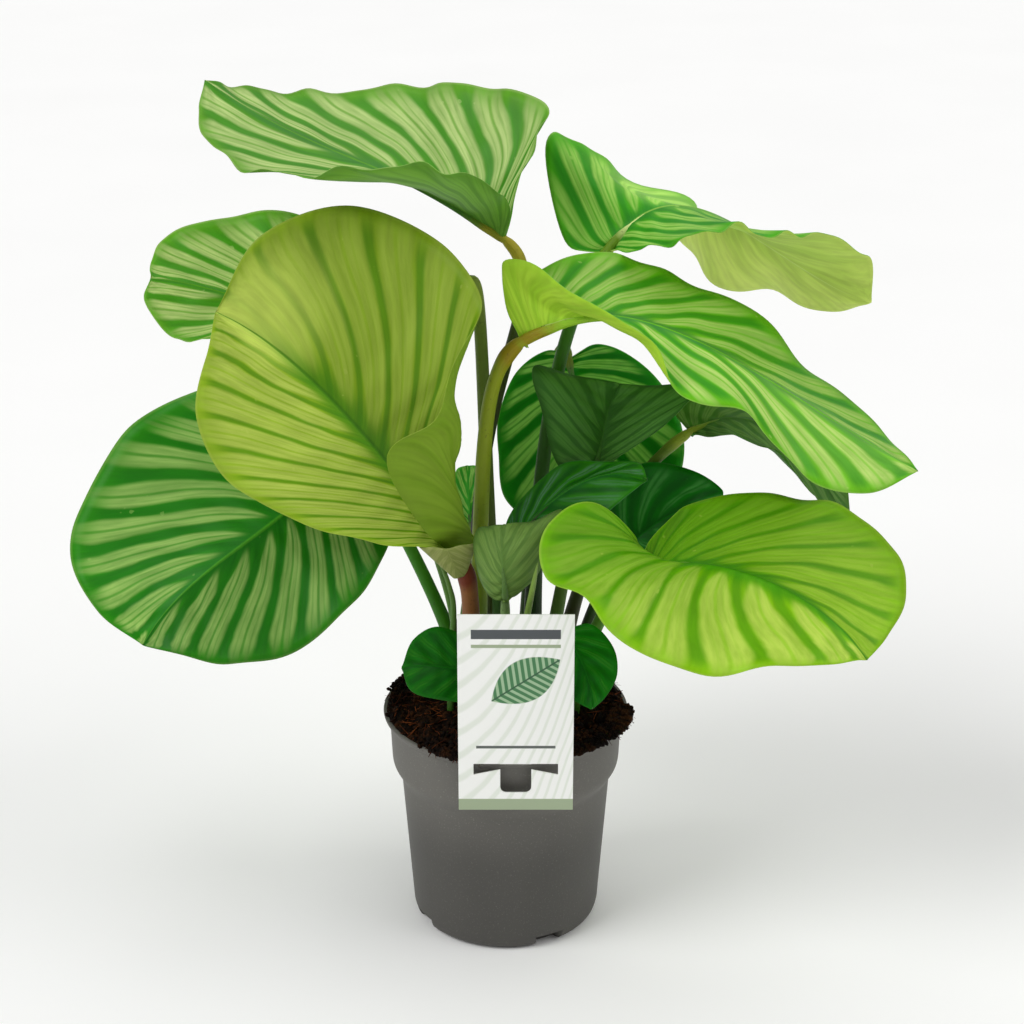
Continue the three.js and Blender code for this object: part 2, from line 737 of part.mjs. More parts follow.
// The card, with the tab cut out of it and folded back over the pot's lip.
function labelSolid() {
  const back = LABEL_FRONT_Y + LABEL_THICKNESS;
  const left = LABEL_CENTRE_X - LABEL_WIDTH / 2;
  const top = LABEL_BOTTOM + LABEL_HEIGHT;
  let card = boxSolid(left, left + LABEL_WIDTH, LABEL_FRONT_Y, back, LABEL_BOTTOM, top);
  const bridge = POT_HEIGHT + 1;
  const hole = boxSolid(
    LABEL_CENTRE_X - TAB_WIDTH / 2,
    LABEL_CENTRE_X + TAB_WIDTH / 2,
    LABEL_FRONT_Y - 1,
    back + 1,
    bridge - TONGUE_CUT,
    bridge,
  );
  const arms = boxSolid(
    LABEL_CENTRE_X - ARM_SPAN / 2,
    LABEL_CENTRE_X + ARM_SPAN / 2,
    LABEL_FRONT_Y - 1,
    back + 1,
    bridge - ARM_CUT,
    bridge,
  );
  card = card.subtract(hole).subtract(arms);
  const inside = LABEL_FRONT_Y + TAB_REACH;
  const tab = boxSolid(
    LABEL_CENTRE_X - TAB_WIDTH / 2,
    LABEL_CENTRE_X + TAB_WIDTH / 2,
    LABEL_FRONT_Y,
    inside,
    POT_HEIGHT + TAB_LIFT,
    POT_HEIGHT + TAB_LIFT + LABEL_THICKNESS,
  );
  const drop = boxSolid(
    LABEL_CENTRE_X - TAB_WIDTH / 2,
    LABEL_CENTRE_X + TAB_WIDTH / 2,
    inside - LABEL_THICKNESS,
    inside,
    bridge - TAB_DEPTH,
    bridge,
  );
  return card.add(tab).add(drop);
}

for (const leaf of LEAVES) {
  leaf.curve = midribCurve(leaf.midrib);
  leaf.length = leaf.curve.getLength();
  for (const half of [leaf.left, leaf.right]) {
    const points = [leaf.midrib[0], ...half.margin, leaf.midrib[3]].map(vector);
    half.curve = new THREE.CatmullRomCurve3(points, false, "catmullrom", 0.5);
  }
}

const plant = new THREE.Group();
plant.name = "potted_calathea";
let soil = soilSolid();

// A stem standing in a plain hole of the soil, which is cut here.
function plantStem(name, foot, curveFrom, radius, colour) {
  const bottom = holeBottom(foot);
  const wide = radius.map((r) => r + HOLE_MARGIN);
  soil = soil.subtract(solidOf(stemGeometry(curveFrom(bottom), wide)));
  const stem = stemGeometry(curveFrom(bottom + HOLE_MARGIN), radius);
  plant.add(makeMesh(name, stem, colour, 0.5));
}

for (const leaf of LEAVES) {
  const { blade, stalk } = COLOURS[leaf.kind];
  plant.add(makeMesh(`blade_${leaf.name}`, bladeGeometry(leaf), blade, 0.45));
  const curveFrom = (bottom) => stalkCurve(leaf, bottom);
  plantStem(`stalk_${leaf.name}`, leaf.stalk.foot, curveFrom, leaf.stalk.radius, stalk);
}
for (const shoot of SHOOTS) {
  const [x, y] = shoot.foot;
  const curveFrom = (bottom) =>
    new THREE.CatmullRomCurve3([new THREE.Vector3(x, y, bottom), ...shoot.path.map(vector)]);
  plantStem(`shoot_${shoot.name}`, shoot.foot, curveFrom, shoot.radius, SHOOT_COLOUR);
}
const slotY = LABEL_FRONT_Y + TAB_REACH;
const slot = boxSolid(
  LABEL_CENTRE_X - TAB_WIDTH / 2 - HOLE_MARGIN,
  LABEL_CENTRE_X + TAB_WIDTH / 2 + HOLE_MARGIN,
  slotY - LABEL_THICKNESS - HOLE_MARGIN,
  slotY + HOLE_MARGIN,
  POT_HEIGHT - TAB_DEPTH - 1,
  POT_HEIGHT + SOIL_HEAP,
);
soil = soil.subtract(slot);
plant.add(makeMesh("pot", geometryOf(potSolid()), POT_COLOUR, 0.55));
plant.add(makeMesh("soil", geometryOf(soil), SOIL_COLOUR, 0.95));
plant.add(makeMesh("plant_label", geometryOf(labelSolid()), CARD_COLOUR, 0.45));

export default plant;
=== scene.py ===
"""A potted calathea, dressed for the picture.

The plant stands in a nursery pot, and a plain label card hangs on the pot's lip. A leaf blade
is a surface of two parameters: u runs along the leaf from vein to vein, w across it from the
left margin (-1) over the midrib (0) to the right margin (1). For each u the surface is an arc
from a point of the midrib over a sagging belly point to a point of the margin curve.
A stalk is a round section carried along a Bezier curve from the soil into the midrib.
Sizes are in millimetres until a mesh is made, which is in metres.
"""

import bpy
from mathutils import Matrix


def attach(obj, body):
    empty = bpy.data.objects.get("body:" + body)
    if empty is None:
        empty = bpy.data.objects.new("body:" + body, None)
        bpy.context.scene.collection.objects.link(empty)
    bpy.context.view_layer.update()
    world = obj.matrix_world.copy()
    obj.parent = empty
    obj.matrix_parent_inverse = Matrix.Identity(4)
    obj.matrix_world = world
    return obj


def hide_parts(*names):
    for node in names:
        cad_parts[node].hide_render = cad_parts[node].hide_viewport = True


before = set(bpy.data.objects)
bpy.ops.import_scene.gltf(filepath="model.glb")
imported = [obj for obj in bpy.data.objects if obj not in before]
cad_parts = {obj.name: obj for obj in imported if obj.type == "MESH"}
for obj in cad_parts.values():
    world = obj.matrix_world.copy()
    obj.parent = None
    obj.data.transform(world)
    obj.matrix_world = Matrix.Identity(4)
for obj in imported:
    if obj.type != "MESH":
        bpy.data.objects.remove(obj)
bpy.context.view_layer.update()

import math

import bpy
import numpy as np
from mathutils.geometry import tessellate_polygon

MM = 0.001

# The camera stands 1.4 m in front of the label, above the plant, and looks down on it. Its focal
# length is a little over twice the photograph's width.
CAMERA_PLACE = (4.5, -1433.0, 888.5)
CAMERA_DOWN = math.radians(22.2)
FOCAL_SHARE = 2300 / 1024
SENSOR_WIDTH = 36.0

lens = bpy.data.cameras.new("camera")
lens.sensor_width = SENSOR_WIDTH
lens.lens = SENSOR_WIDTH * FOCAL_SHARE
camera = bpy.data.objects.new("camera", lens)
camera.location = [c * MM for c in CAMERA_PLACE]
camera.rotation_euler = (math.pi / 2 - CAMERA_DOWN, 0.0, 0.0)
bpy.context.scene.collection.objects.link(camera)
bpy.context.scene.camera = camera

# The leaf blades: broad thin plates of living leaf, each grown on its own stalk, with a midrib
# and curved side veins. Silvery bands run between the veins, and each blade is a little pleated
# and wavy at its margin.

# A leaf's look. The upper face is dark along the veins, edge between them, pale in the bands,
# core beside the midrib and rib on it, or edge where no rib is given; the lower face has its
# colours under, veins and ridge.
# The bands have their number, width, slant (lean), reach towards the margin and strength at the
# midrib (root); line is the strength of the fine lines in them, vein how far from a band's
# middle the dark starts, late how far along the leaf the silver is full, and back how much of
# core covers the base, which darkens the base as painted shade in the leaf's funnel. gleam is the
# lightness of the silver on the left and the right half, partly the bands' own strength and partly
# painted shade on a half that lies out of the light; shade is painted shade, the lightness of the
# face on the left and the right half. lit is the place (u, w) of a painted highlight, and sheen
# how strong it is.
# ripple and waves are the height and the number of the waves at the margin.
SHARED_LOOK = dict(
    width=0.62, lean=0.24, reach=1.0, root=0.25, line=0.85, vein=0.42, late=0.06, back=0.0,
    gleam=(1.0, 1.0), shade=(1.0, 1.0), lit=(0.8, 0.0), sheen=0.0, ridge="c4d08c",
)

# Per leaf: four points of the midrib, the way that the upper face looks along it, points of the
# left and of the right margin, how far each half bulges out, where it does, and sags along the
# leaf, the place of the stalk's foot, its first rise, its bend below the blade and its radius at
# foot and joint.
LEAVES = {
    "high_left": dict(
        midrib=[(0, 30, 484), (-60, 45, 517), (-127, 62, 542), (-199, 85, 578)],
        up=[(0.1, -0.1, 1), (0, -0.1, 1), (0, -0.1, 1)],
        left=[
            (2, 12, 514), (-23, -34, 543), (-66, -36, 550), (-122, -22, 541), (-169, 6, 539),
            (-198, 42, 557),
        ],
        right=[
            (12, 35, 531), (27, 52, 568), (-19, 92, 573), (-66, 125, 566), (-129, 137, 559),
            (-173, 122, 565),
        ],
        sag=((6, 6, 2), (6, 6, 2)),
        foot=(-8, 29), rise=(-44, 9, 220), bend=58, radius=(5.4, 3.4),
        look=dict(
            dark="438c1c", pale="b7ce80", edge="5d9d20", core="418130", under="74a83a",
            veins="4a8026", bands=10, width=0.68, ripple=2.6, waves=8, lean=0.34, reach=1.06,
        ),
    ),
    "back_left": dict(
        midrib=[(-88, 40, 409), (-138, 48, 425), (-191, 55, 441), (-239, 60, 449)],
        up=[(0, -0.5, 1), (0, -0.6, 1), (0, -0.6, 1)],
        left=[
            (-100, 20, 391), (-136, 10, 395), (-169, 15, 412), (-199, 25, 418), (-221, 35, 414),
            (-242, 50, 435),
        ],
        right=[
            (-81, 60, 434), (-112, 80, 470), (-148, 95, 486), (-192, 98, 481), (-229, 90, 472),
            (-240, 76, 457),
        ],
        sag=((6, 6, 2), (6, 6, 2)),
        foot=(-6, 13), rise=(-20, 8, 510), bend=92, radius=(5.2, 3.8),
        look=dict(
            dark="489c18", pale="c6de84", edge="5ea818", core="469424", under="7fa85c",
            veins="5b8a42", bands=9, width=0.66, ripple=1.5, waves=6, lean=0.3, reach=1.04,
        ),
    ),
    "front_left": dict(
        midrib=[(-30, -34, 283), (-78, -36, 355), (-131, -34, 416), (-183, -38, 456)],
        up=[(0.1, -1, 0.3), (0, -1, 0.35), (0, -1, 0.35)],
        left=[
            (-52, -52, 300), (-94, -62, 309), (-140, -60, 325), (-180, -54, 349),
            (-198, -46, 390), (-189, -40, 431),
        ],
        right=[
            (-55, -58, 318), (-74, -79, 372), (-44, -76, 399), (-31, -62, 430), (-16, -42, 465),
            (-41, -12, 494), (-99, 0, 515), (-154, -20, 501),
        ],
        out=((0, 0, 0), (35, 65, 28, 5, 0, 0, 0)),
        sag=((4, 6, 2), (4, 4, 4, 4, 2)),
        foot=(-22, -30), rise=(-4, 0, 70), bend=24, radius=(8.5, 5),
        # Painted light: shade darkens the right half, gleam weakens its silver, and sheen is a
        # painted highlight near the tip.
        look=dict(
            dark="5c9008", pale="b6c85a", edge="8aae1e", core="4a8a08", under="7b9a28",
            veins="6c9018", rib="3f7a08", bands=14, width=0.80, vein=0.7, gleam=(0.8, 0.42),
            shade=(1.02, 0.76), lit=(0.97, 0.2), sheen=0.75, ripple=1.4, waves=5, lean=0.3,
            root=0.5, reach=1.1,
        ),
    ),
    "low_left": dict(
        midrib=[(-108, 16, 344), (-150, -14, 306), (-198, -42, 277), (-239, -62, 234)],
        up=[(-0.1, -0.8, 0.6)] * 3,
        left=[
            (-84, 2, 344), (-71, -12, 323), (-78, -28, 289), (-100, -50, 260), (-137, -66, 232),
            (-180, -76, 227), (-213, -72, 232),
        ],
        right=[
            (-124, 6, 380), (-167, 18, 391), (-208, 24, 381), (-252, 18, 358), (-280, -6, 318),
            (-289, -30, 285), (-269, -52, 254),
        ],
        sag=((4, 6, 2), (4, 6, 2)),
        foot=(-24, 4), rise=(6, 2, 46), bend=12, radius=(5.2, 3.8),
        # Painted shade: shade darkens the left half.
        look=dict(
            dark="197602", pale="95bc5e", edge="2a8706", core="1c760e", rib="4a9a1c",
            under="86a868", veins="5f8a48", bands=13, width=0.66, shade=(0.74, 1.0), ripple=1.6,
            waves=6, reach=1.02, root=0.3,
        ),
    ),
    "high_right": dict(
        midrib=[(68, 56, 469), (122, 66, 497), (181, 60, 469), (245, 44, 437)],
        up=[(0, -0.5, 1), (0.1, 0.2, 1), (0.1, 0.8, 1)],
        left=[
            (40, 62, 474), (27, 86, 536), (51, 106, 532), (76, 122, 508), (130, 130, 483),
            (124, 124, 458), (146, 112, 430), (184, 96, 428), (222, 68, 423),
        ],
        right=[
            (88, 28, 478), (113, -4, 493), (143, -10, 504), (173, 0, 495), (200, 6, 495),
            (238, 26, 474),
        ],
        sag=((6, 6, 2), (6, 6, 2)),
        foot=(18, 18), rise=(0, 4, 230), bend=50, radius=(5.6, 4.2),
        # Painted light: shade lightens the left half, and sheen is a painted highlight in the
        # middle of the left half.
        look=dict(
            dark="2d8a18", pale="aed568", edge="4ba616", core="2d8520", rib="8ab848",
            ridge="e4f49c", under="dbf078", veins="c4de64", bands=10, width=0.62, ripple=2.6,
            waves=7, reach=1.04, gleam=(0.65, 0.7), shade=(1.12, 1.0), lit=(0.5, -0.5),
            sheen=0.38,
        ),
    ),
    "mid_right": dict(
        midrib=[(10, -20, 430), (84, -40, 451), (167, -70, 420), (258, -95, 370)],
        up=[(0, -0.1, 1), (0.2, -0.1, 1), (0.4, -0.1, 1)],
        left=[
            (4, 4, 451), (23, 25, 466), (71, 40, 473), (111, 41, 456), (158, 25, 441),
            (203, 0, 403), (240, -42, 381),
        ],
        right=[
            (0, -14, 456), (2, -8, 482), (42, -60, 477), (88, -92, 453), (115, -101, 418),
            (151, -107, 412), (185, -109, 371), (225, -112, 362),
        ],
        sag=((10, 6, 2), (14, 10, -4, -4, 0)),
        foot=(-22, -9), rise=(9, 0, 200), bend=40, radius=(6.4, 4.4),
        # Painted light: shade darkens the left half more than the right, gleam weakens the left
        # half's silver, and sheen is a faint painted highlight towards the tip.
        look=dict(
            dark="329410", pale="b6d470", edge="6bbe14", core="3b8632", under="aed53c",
            veins="90c028", width=0.60, bands=12, shade=(0.84, 0.96), ripple=2.2, waves=6,
            reach=1.05, lit=(0.86, 0.3), sheen=0.15, gleam=(0.8, 1.0),
        ),
    ),
    "centre_back": dict(
        midrib=[(44, 94, 381), (51, 86, 346), (58, 74, 309), (64, 60, 267)],
        up=[(0, -1, 0.3)] * 3,
        left=[
            (66, 98, 390), (94, 102, 376), (117, 98, 349), (126, 84, 317), (116, 74, 283),
            (91, 66, 267),
        ],
        right=[
            (28, 94, 387), (7, 100, 368), (-5, 94, 338), (-5, 84, 313), (0, 74, 283),
            (28, 66, 265),
        ],
        sag=((4, 6, 2), (4, 6, 2)),
        foot=(12, 46), rise=(8, 84, 200), bend=30, radius=(4.2, 3.2),
        # Painted light: gleam brightens the silver of the right half against the shade that falls
        # on it.
        look=dict(
            dark="0b7a04", pale="92d45c", edge="1d900c", core="107a10", under="7fa060",
            veins="5b8248", bands=8, width=0.6, ripple=1.0, waves=4, gleam=(1.0, 1.25),
        ),
    ),
    "centre": dict(
        midrib=[(58, 12, 324), (64, 20, 344), (69, 28, 365), (77, 32, 384)],
        up=[(0, 1, 0.3), (0, 1, 0.4), (0, 1, 0.5)],
        left=[(76, 10, 339), (97, 8, 355), (123, 10, 380), (131, 18, 388), (104, 28, 384)],
        right=[(44, 10, 324), (32, 2, 344), (24, -2, 377), (18, -4, 408), (46, 18, 395)],
        sag=((4, 8, 2), (8, 10, 2)),
        foot=(26, -4), rise=(4, 0, 80), bend=30, radius=(6, 3.2),
        # Painted shade: these colours are darker than the leaf's own, for the shade deep inside the
        # plant.
        look=dict(
            dark="2a6a1c", pale="7f9f60", edge="3f7a20", core="2a6a1c", under="4a7e30",
            veins="164e0a", ridge="3a6c20", bands=9, width=0.7, ripple=1.6, waves=3,
        ),
    ),
    "back_right": dict(
        midrib=[(126, 46, 344), (164, 44, 354), (201, 36, 333), (235, 26, 284)],
        up=[(0, 0.1, 1), (0, 0.1, 1), (0.6, 0.1, 1)],
        left=[
            (117, 54, 356), (134, 66, 365), (170, 74, 361), (205, 64, 346), (230, 48, 315),
            (237, 36, 294),
        ],
        right=[
            (142, 24, 349), (157, 8, 355), (179, -2, 348), (197, 0, 330), (210, 8, 309),
            (223, 16, 292),
        ],
        sag=((4, 4, 2), (4, 4, 2)),
        foot=(36, 36), rise=(8, 6, 120), bend=40, radius=(5.4, 3.2),
        look=dict(
            dark="3a6a20", pale="5f8540", edge="447020", core="346020", under="568f30",
            veins="34681c", ridge="6a9040", bands=9, ripple=1.5, waves=4,
        ),
    ),
    "low_centre": dict(
        midrib=[(1, -32, 291), (28, -28, 320), (59, -24, 338), (94, -20, 335)],
        up=[(0, -0.5, 1)] * 3,
        left=[(1, -22, 306), (14, -12, 322), (38, -4, 340), (67, 0, 340), (88, -6, 342)],
        right=[(10, -36, 288), (30, -40, 294), (52, -42, 308), (72, -38, 324), (87, -30, 333)],
        sag=((4, 4, 2), (4, 4, 2)),
        foot=(4, -25), rise=(-6, 0, 60), bend=20, radius=(5.4, 3.2),
        # Painted shade: these colours are darker than the leaf's own, for the shade deep inside the
        # plant.
        look=dict(
            dark="125c12", pale="5a8a6a", edge="2b7e0c", core="14621c", under="5c7a4a",
            veins="3c5c30", bands=7, width=0.34, gleam=(0.9, 0.5), ripple=0.8, waves=3,
        ),
    ),
    "low_back": dict(
        midrib=[(79, 24, 261), (99, 26, 281), (123, 30, 294), (148, 28, 301)],
        up=[(0, -1, 0.3)] * 3,
        left=[(64, 28, 286), (70, 34, 310), (96, 38, 325), (128, 38, 319), (148, 32, 308)],
        right=[(93, 20, 251), (115, 20, 254), (137, 22, 268), (153, 26, 287)],
        sag=((4, 4, 2), (4, 4, 2)),
        foot=(42, 12), rise=(4, 0, 50), bend=20, radius=(6, 3),
        # Painted shade: these colours are darker than the leaf's own, for the shade deep inside the
        # plant.
        look=dict(
            dark="04580a", pale="3f8a3c", edge="066c08", core="04560a", under="5c7a4a",
            veins="3c5c30", bands=6, width=0.34, ripple=0.8, waves=3,
        ),
    ),
    "low_right": dict(
        midrib=[(91, -45, 282), (134, -66, 293), (186, -88, 282), (232, -105, 244)],
        up=[(0, -0.5, 1), (0.1, -0.5, 1), (0.3, -0.5, 1)],
        left=[
            (96, -35, 298), (124, -5, 312), (172, 10, 313), (218, 0, 310), (253, -20, 294),
            (264, -55, 269), (247, -85, 251),
        ],
        right=[
            (83, -52, 311), (56, -58, 334), (26, -70, 323), (26, -88, 296), (54, -100, 281),
            (79, -118, 259), (123, -130, 247), (170, -132, 252), (208, -122, 250),
        ],
        sag=((6, 8, 2), (4, 6, 2)),
        foot=(42, -16), rise=(4, 0, 60), bend=24, radius=(5.4, 3.6),
        # Painted shade: shade darkens the left half and lightens the right, gleam weakens the left
        # half's silver, and back darkens the base in the leaf's funnel.
        look=dict(
            dark="5c9c06", pale="b8d056", edge="86c008", core="3f9002", under="a5c25f",
            veins="8cae48", rib="3f8a08", bands=11, width=0.78, vein=0.58, line=0.7,
            gleam=(0.4, 0.9), shade=(0.92, 1.06), ripple=2.4, waves=6, late=0.6, root=0.4,
            reach=1.06, back=0.5,
        ),
    ),
    "cup": dict(
        midrib=[(0, -64, 269), (-1, -72, 289), (-2, -68, 305), (0, -56, 318)],
        up=[(0, 1, 0.1), (0, 1, 0.2), (0, 1, 0.3)],
        left=[(11, -60, 273), (24, -58, 289), (38, -52, 325), (18, -50, 318)],
        right=[(-11, -60, 270), (-19, -56, 287), (-19, -50, 311), (-10, -50, 314)],
        sag=((6, 8, 4), (6, 8, 4)),
        foot=(1, -47), rise=(0, 0, 30), bend=15, radius=(3.4, 2.6),
        look=dict(
            dark="2a6a1c", pale="7f9f60", edge="3f7a20", core="2a6a1c", under="6a8a40",
            veins="4a6e2c", ridge="587c38", bands=8, width=0.7, ripple=0.6, waves=3,
        ),
    ),
    "small_left": dict(
        midrib=[(-13, -58, 213), (-33, -66, 219), (-51, -72, 224), (-68, -76, 224)],
        up=[(0, -0.8, 0.6)] * 3,
        left=[(-20, -72, 199), (-42, -78, 202), (-61, -80, 209)],
        right=[(-24, -45, 230), (-45, -48, 241), (-61, -58, 236)],
        sag=((2, 3, 1), (2, 3, 1)),
        foot=(-16, -57), rise=(0, 0, 14), bend=10, radius=(2.6, 2.2),
        look=dict(
            dark="045402", pale="2c7410", edge="0c6404", core="045403", under="5c8a4a",
            veins="3c6a30", bands=6, width=0.26, gleam=(0.6, 0.6), ripple=0.6, waves=3,
        ),
    ),
    "small_right": dict(
        midrib=[(37, -60, 243), (48, -66, 229), (55, -74, 213), (57, -82, 197)],
        up=[(0.1, -1, 0.3)] * 3,
        left=[(56, -52, 245), (71, -58, 232), (74, -68, 216), (66, -78, 204)],
        right=[(28, -66, 233), (33, -72, 214), (45, -80, 203)],
        sag=((2, 3, 1), (2, 3, 1)),
        foot=(30, -48), rise=(0, 0, 40), bend=15, radius=(2.6, 2.2),
        look=dict(
            dark="045e03", pale="348218", edge="0c7006", core="045c05", under="5c8a4a",
            veins="3c6a30", bands=6, width=0.26, gleam=(0.6, 0.6), ripple=0.6, waves=3,
        ),
    ),
    "behind": dict(
        midrib=[(-23, 38, 276), (-25, 42, 292), (-26, 50, 304), (-27, 58, 315)],
        up=[(0, -1, 0.5)] * 3,
        left=[(-31, 40, 285), (-37, 46, 301), (-34, 54, 313)],
        right=[(-15, 40, 287), (-13, 46, 303), (-19, 54, 315)],
        sag=((2, 3, 1), (2, 3, 1)),
        foot=(-34, 34), rise=(0, 4, 60), bend=20, radius=(3.4, 2.6),
        look=dict(
            dark="4ebf41", pale="c8f386", edge="62d845", core="4ebf41", under="7fa060",
            veins="5b8248", bands=6, ripple=0.4, waves=2,
        ),
    ),
    "rear": dict(
        midrib=[(-50, 80, 296), (-72, 130, 312), (-104, 180, 308), (-140, 228, 286)],
        up=[(0, 0, 1), (0, 0, 1), (0, 0.3, 1)],
        left=[
            (-80, 72, 300), (-124, 92, 308), (-158, 132, 306), (-172, 178, 296),
            (-162, 214, 286),
        ],
        right=[
            (-44, 106, 300), (-46, 150, 308), (-58, 192, 304), (-88, 224, 294),
            (-116, 236, 286),
        ],
        sag=((6, 6, 2), (6, 6, 2)),
        foot=(-10, 50), rise=(-6, 20, 90), bend=30, radius=(4.4, 3.4),
        look=dict(
            dark="2a8020", pale="9cc474", edge="3c9020", core="2a7c26", under="7fa060",
            veins="5b8248", bands=10, ripple=1.5, waves=5,
        ),
    ),
}

STRAIGHT = ((0, 0), (0, 0))
BLADE_STEPS = (110, 20)
SMALL_LEAF = 100.0
SMALL_STEPS = (60, 12)
MIDRIB_STEPS = 60
VEIN_LEAN = 0.12
VEIN_BOW = 0.03
HALF_THICKNESS = 0.34
RIM_THICKNESS = 0.16
PLEAT_HEIGHT = 0.45
FLAT_SHARE = 0.4
RIB_WIDTH = 1.3
RIB_ABOVE = 0.35
RIB_BELOW = 0.3
RIB_GAIN = 1.3
SIDE_SHIFT = 0.4


def control_points(through):
    """The four control points of the cubic Bezier curve that passes the given four points."""
    a, b, c, d = np.asarray(through, float)
    first = -5 / 6 * a + 3 * b - 1.5 * c + d / 3
    second = a / 3 - 1.5 * b + 3 * c - 5 / 6 * d
    return np.array([a, first, second, d])


def bezier(points, t):
    """A cubic Bezier curve at t, and its unit direction: the sums of the Bernstein weights."""
    t = np.asarray(t, float)[..., None]
    s = 1 - t
    a, b, c, d = points
    place = s**3 * a + 3 * s * s * t * b + 3 * s * t * t * c + t**3 * d
    steps = np.diff(points, axis=0)
    way = s * s * steps[0] + 2 * s * t * steps[1] + t * t * steps[2]
    return place, way / np.linalg.norm(way, axis=-1, keepdims=True)


def along(values, t):
    """A smooth change through evenly spaced values: each step eases with 3f^2 - 2f^3."""
    values = np.asarray(values, float)
    s = np.clip(t, 0, 1) * (len(values) - 1)
    first = np.minimum(len(values) - 2, np.floor(s).astype(int))
    f = s - first
    ease = f * f * (3 - 2 * f)
    if values.ndim > 1:
        ease = ease[..., None]
    return values[first] + (values[first + 1] - values[first]) * ease


def through(points, u):
    """A uniform Catmull-Rom curve through points: a Hermite cubic whose slope at a point is
    half of the way between that point's neighbours."""
    p = np.asarray(points, float)
    p = np.vstack([2 * p[0] - p[1], p, 2 * p[-1] - p[-2]])
    s = np.clip(u, 0, 1) * (len(p) - 3)
    n = np.minimum(len(p) - 4, np.floor(s).astype(int))
    f = (s - n)[..., None]
    before, a, b, after = p[n], p[n + 1], p[n + 2], p[n + 3]
    slope_a, slope_b = (b - before) / 2, (after - a) / 2
    return (
        (2 * f**3 - 3 * f**2 + 1) * a
        + (f**3 - 2 * f**2 + f) * slope_a
        + (3 * f**2 - 2 * f**3) * b
        + (f**3 - f**2) * slope_b
    )


def unit(rows):
    """Each row divided by its own length."""
    return rows / np.maximum(np.linalg.norm(rows, axis=-1, keepdims=True), 1e-9)


def midrib_frame(leaf, t):
    """Point, direction, up and right of the midrib: up is the leaf's hint made square to it."""
    point, way = bezier(control_points(leaf["midrib"]), t)
    up = along(leaf["up"], t)
    up = unit(up - way * np.sum(up * way, axis=-1, keepdims=True))
    return point, way, up, np.cross(way, up)


def blade_sheet(leaf, u, w):
    """The middle of the blade: (1-v)^2 midrib + 2v(1-v) belly + v^2 margin, with v = |w|. The
    belly lies halfway between the two, moved out and down; the vein is bowed backwards by
    4v(1-v) of its bow. Returns the points and the widths of the halves."""
    v = np.abs(w)[..., None]
    swell = np.sin(np.pi * u)
    t = u - VEIN_LEAN * swell
    point, way, up, right = midrib_frame(leaf, t)
    base, tip = leaf["midrib"][0], leaf["midrib"][3]
    on_left = w[..., None] < 0
    margins = [through([base, *leaf[side], tip], u) for side in ("left", "right")]
    margin = np.where(on_left, *margins)
    bulge, sags = leaf.get("out", STRAIGHT), leaf["sag"]
    out = np.where(w < 0, -along(bulge[0], t), along(bulge[1], t))[..., None]
    sag = np.where(w < 0, along(sags[0], t), along(sags[1], t))[..., None]
    belly = (point + margin) / 2 + right * out - up * sag
    rib, _ = bezier(control_points(leaf["midrib"]), np.linspace(0, 1, MIDRIB_STEPS))
    length = np.linalg.norm(np.diff(rib, axis=0), axis=1).sum()
    bow = VEIN_BOW * length * swell[..., None] * 4 * v * (1 - v)
    sheet = (1 - v) ** 2 * point + 2 * v * (1 - v) * belly + v**2 * margin - way * bow
    return sheet, np.linalg.norm(margin - point, axis=-1)


def sheet_normals(sheet):
    """Unit normals of a grid of points: the cross product of its two difference directions."""
    down = np.gradient(sheet, axis=0)
    across = np.gradient(sheet, axis=1)
    return unit(np.cross(across, down))


def grid_faces(rows, columns, start=0, turn=False, closed=False):
    """Four-sided faces between the rows and columns of a grid of vertices, which are numbered
    row by row from start; a closed grid's last column joins its first."""
    spans = columns if closed else columns - 1
    r, c = np.meshgrid(np.arange(rows - 1) * columns, np.arange(spans), indexing="ij")
    n = (c + 1) % columns
    quads = np.stack([r + c, r + n, r + columns + n, r + columns + c], -1).reshape(-1, 4) + start
    return quads[:, ::-1] if turn else quads


def fan_faces(point, row, turn=False):
    """Three-sided faces from a point to each stretch of a row; -1 fills the fourth place."""
    row = np.asarray(row)
    count = len(row) - 1
    fan = np.stack([np.full(count, point), row[:-1], row[1:], np.full(count, -1)], -1)
    return fan[:, [0, 2, 1, 3]] if turn else fan


def new_piece(name, points, faces, uv=None, slots=None, flat=None):
    """A mesh object from vertices in millimetres and rows of four indices (-1 for none)."""
    mesh = bpy.data.meshes.new(name)
    used = faces >= 0
    corners = faces[used]
    sizes = used.sum(1)
    mesh.vertices.add(len(points))
    mesh.vertices.foreach_set("co", (np.asarray(points) * MM).astype(np.float32).ravel())
    mesh.loops.add(len(corners))
    mesh.loops.foreach_set("vertex_index", corners.astype(np.int32))
    mesh.polygons.add(len(faces))
    mesh.polygons.foreach_set("loop_start", (np.cumsum(sizes) - sizes).astype(np.int32))
    mesh.polygons.foreach_set("loop_total", sizes.astype(np.int32))
    if uv is not None:
        layer = mesh.uv_layers.new(name="UVMap")
        layer.data.foreach_set("uv", np.asarray(uv, np.float32)[corners].ravel())
    mesh.update(calc_edges=True)
    smooth = np.ones(len(faces), bool) if flat is None else ~flat
    mesh.polygons.foreach_set("use_smooth", smooth)
    if slots is not None:
        mesh.polygons.foreach_set("material_index", np.asarray(slots, np.int32))
    mesh.validate()
    piece = bpy.data.objects.new(name, mesh)
    bpy.context.scene.collection.objects.link(piece)
    return piece


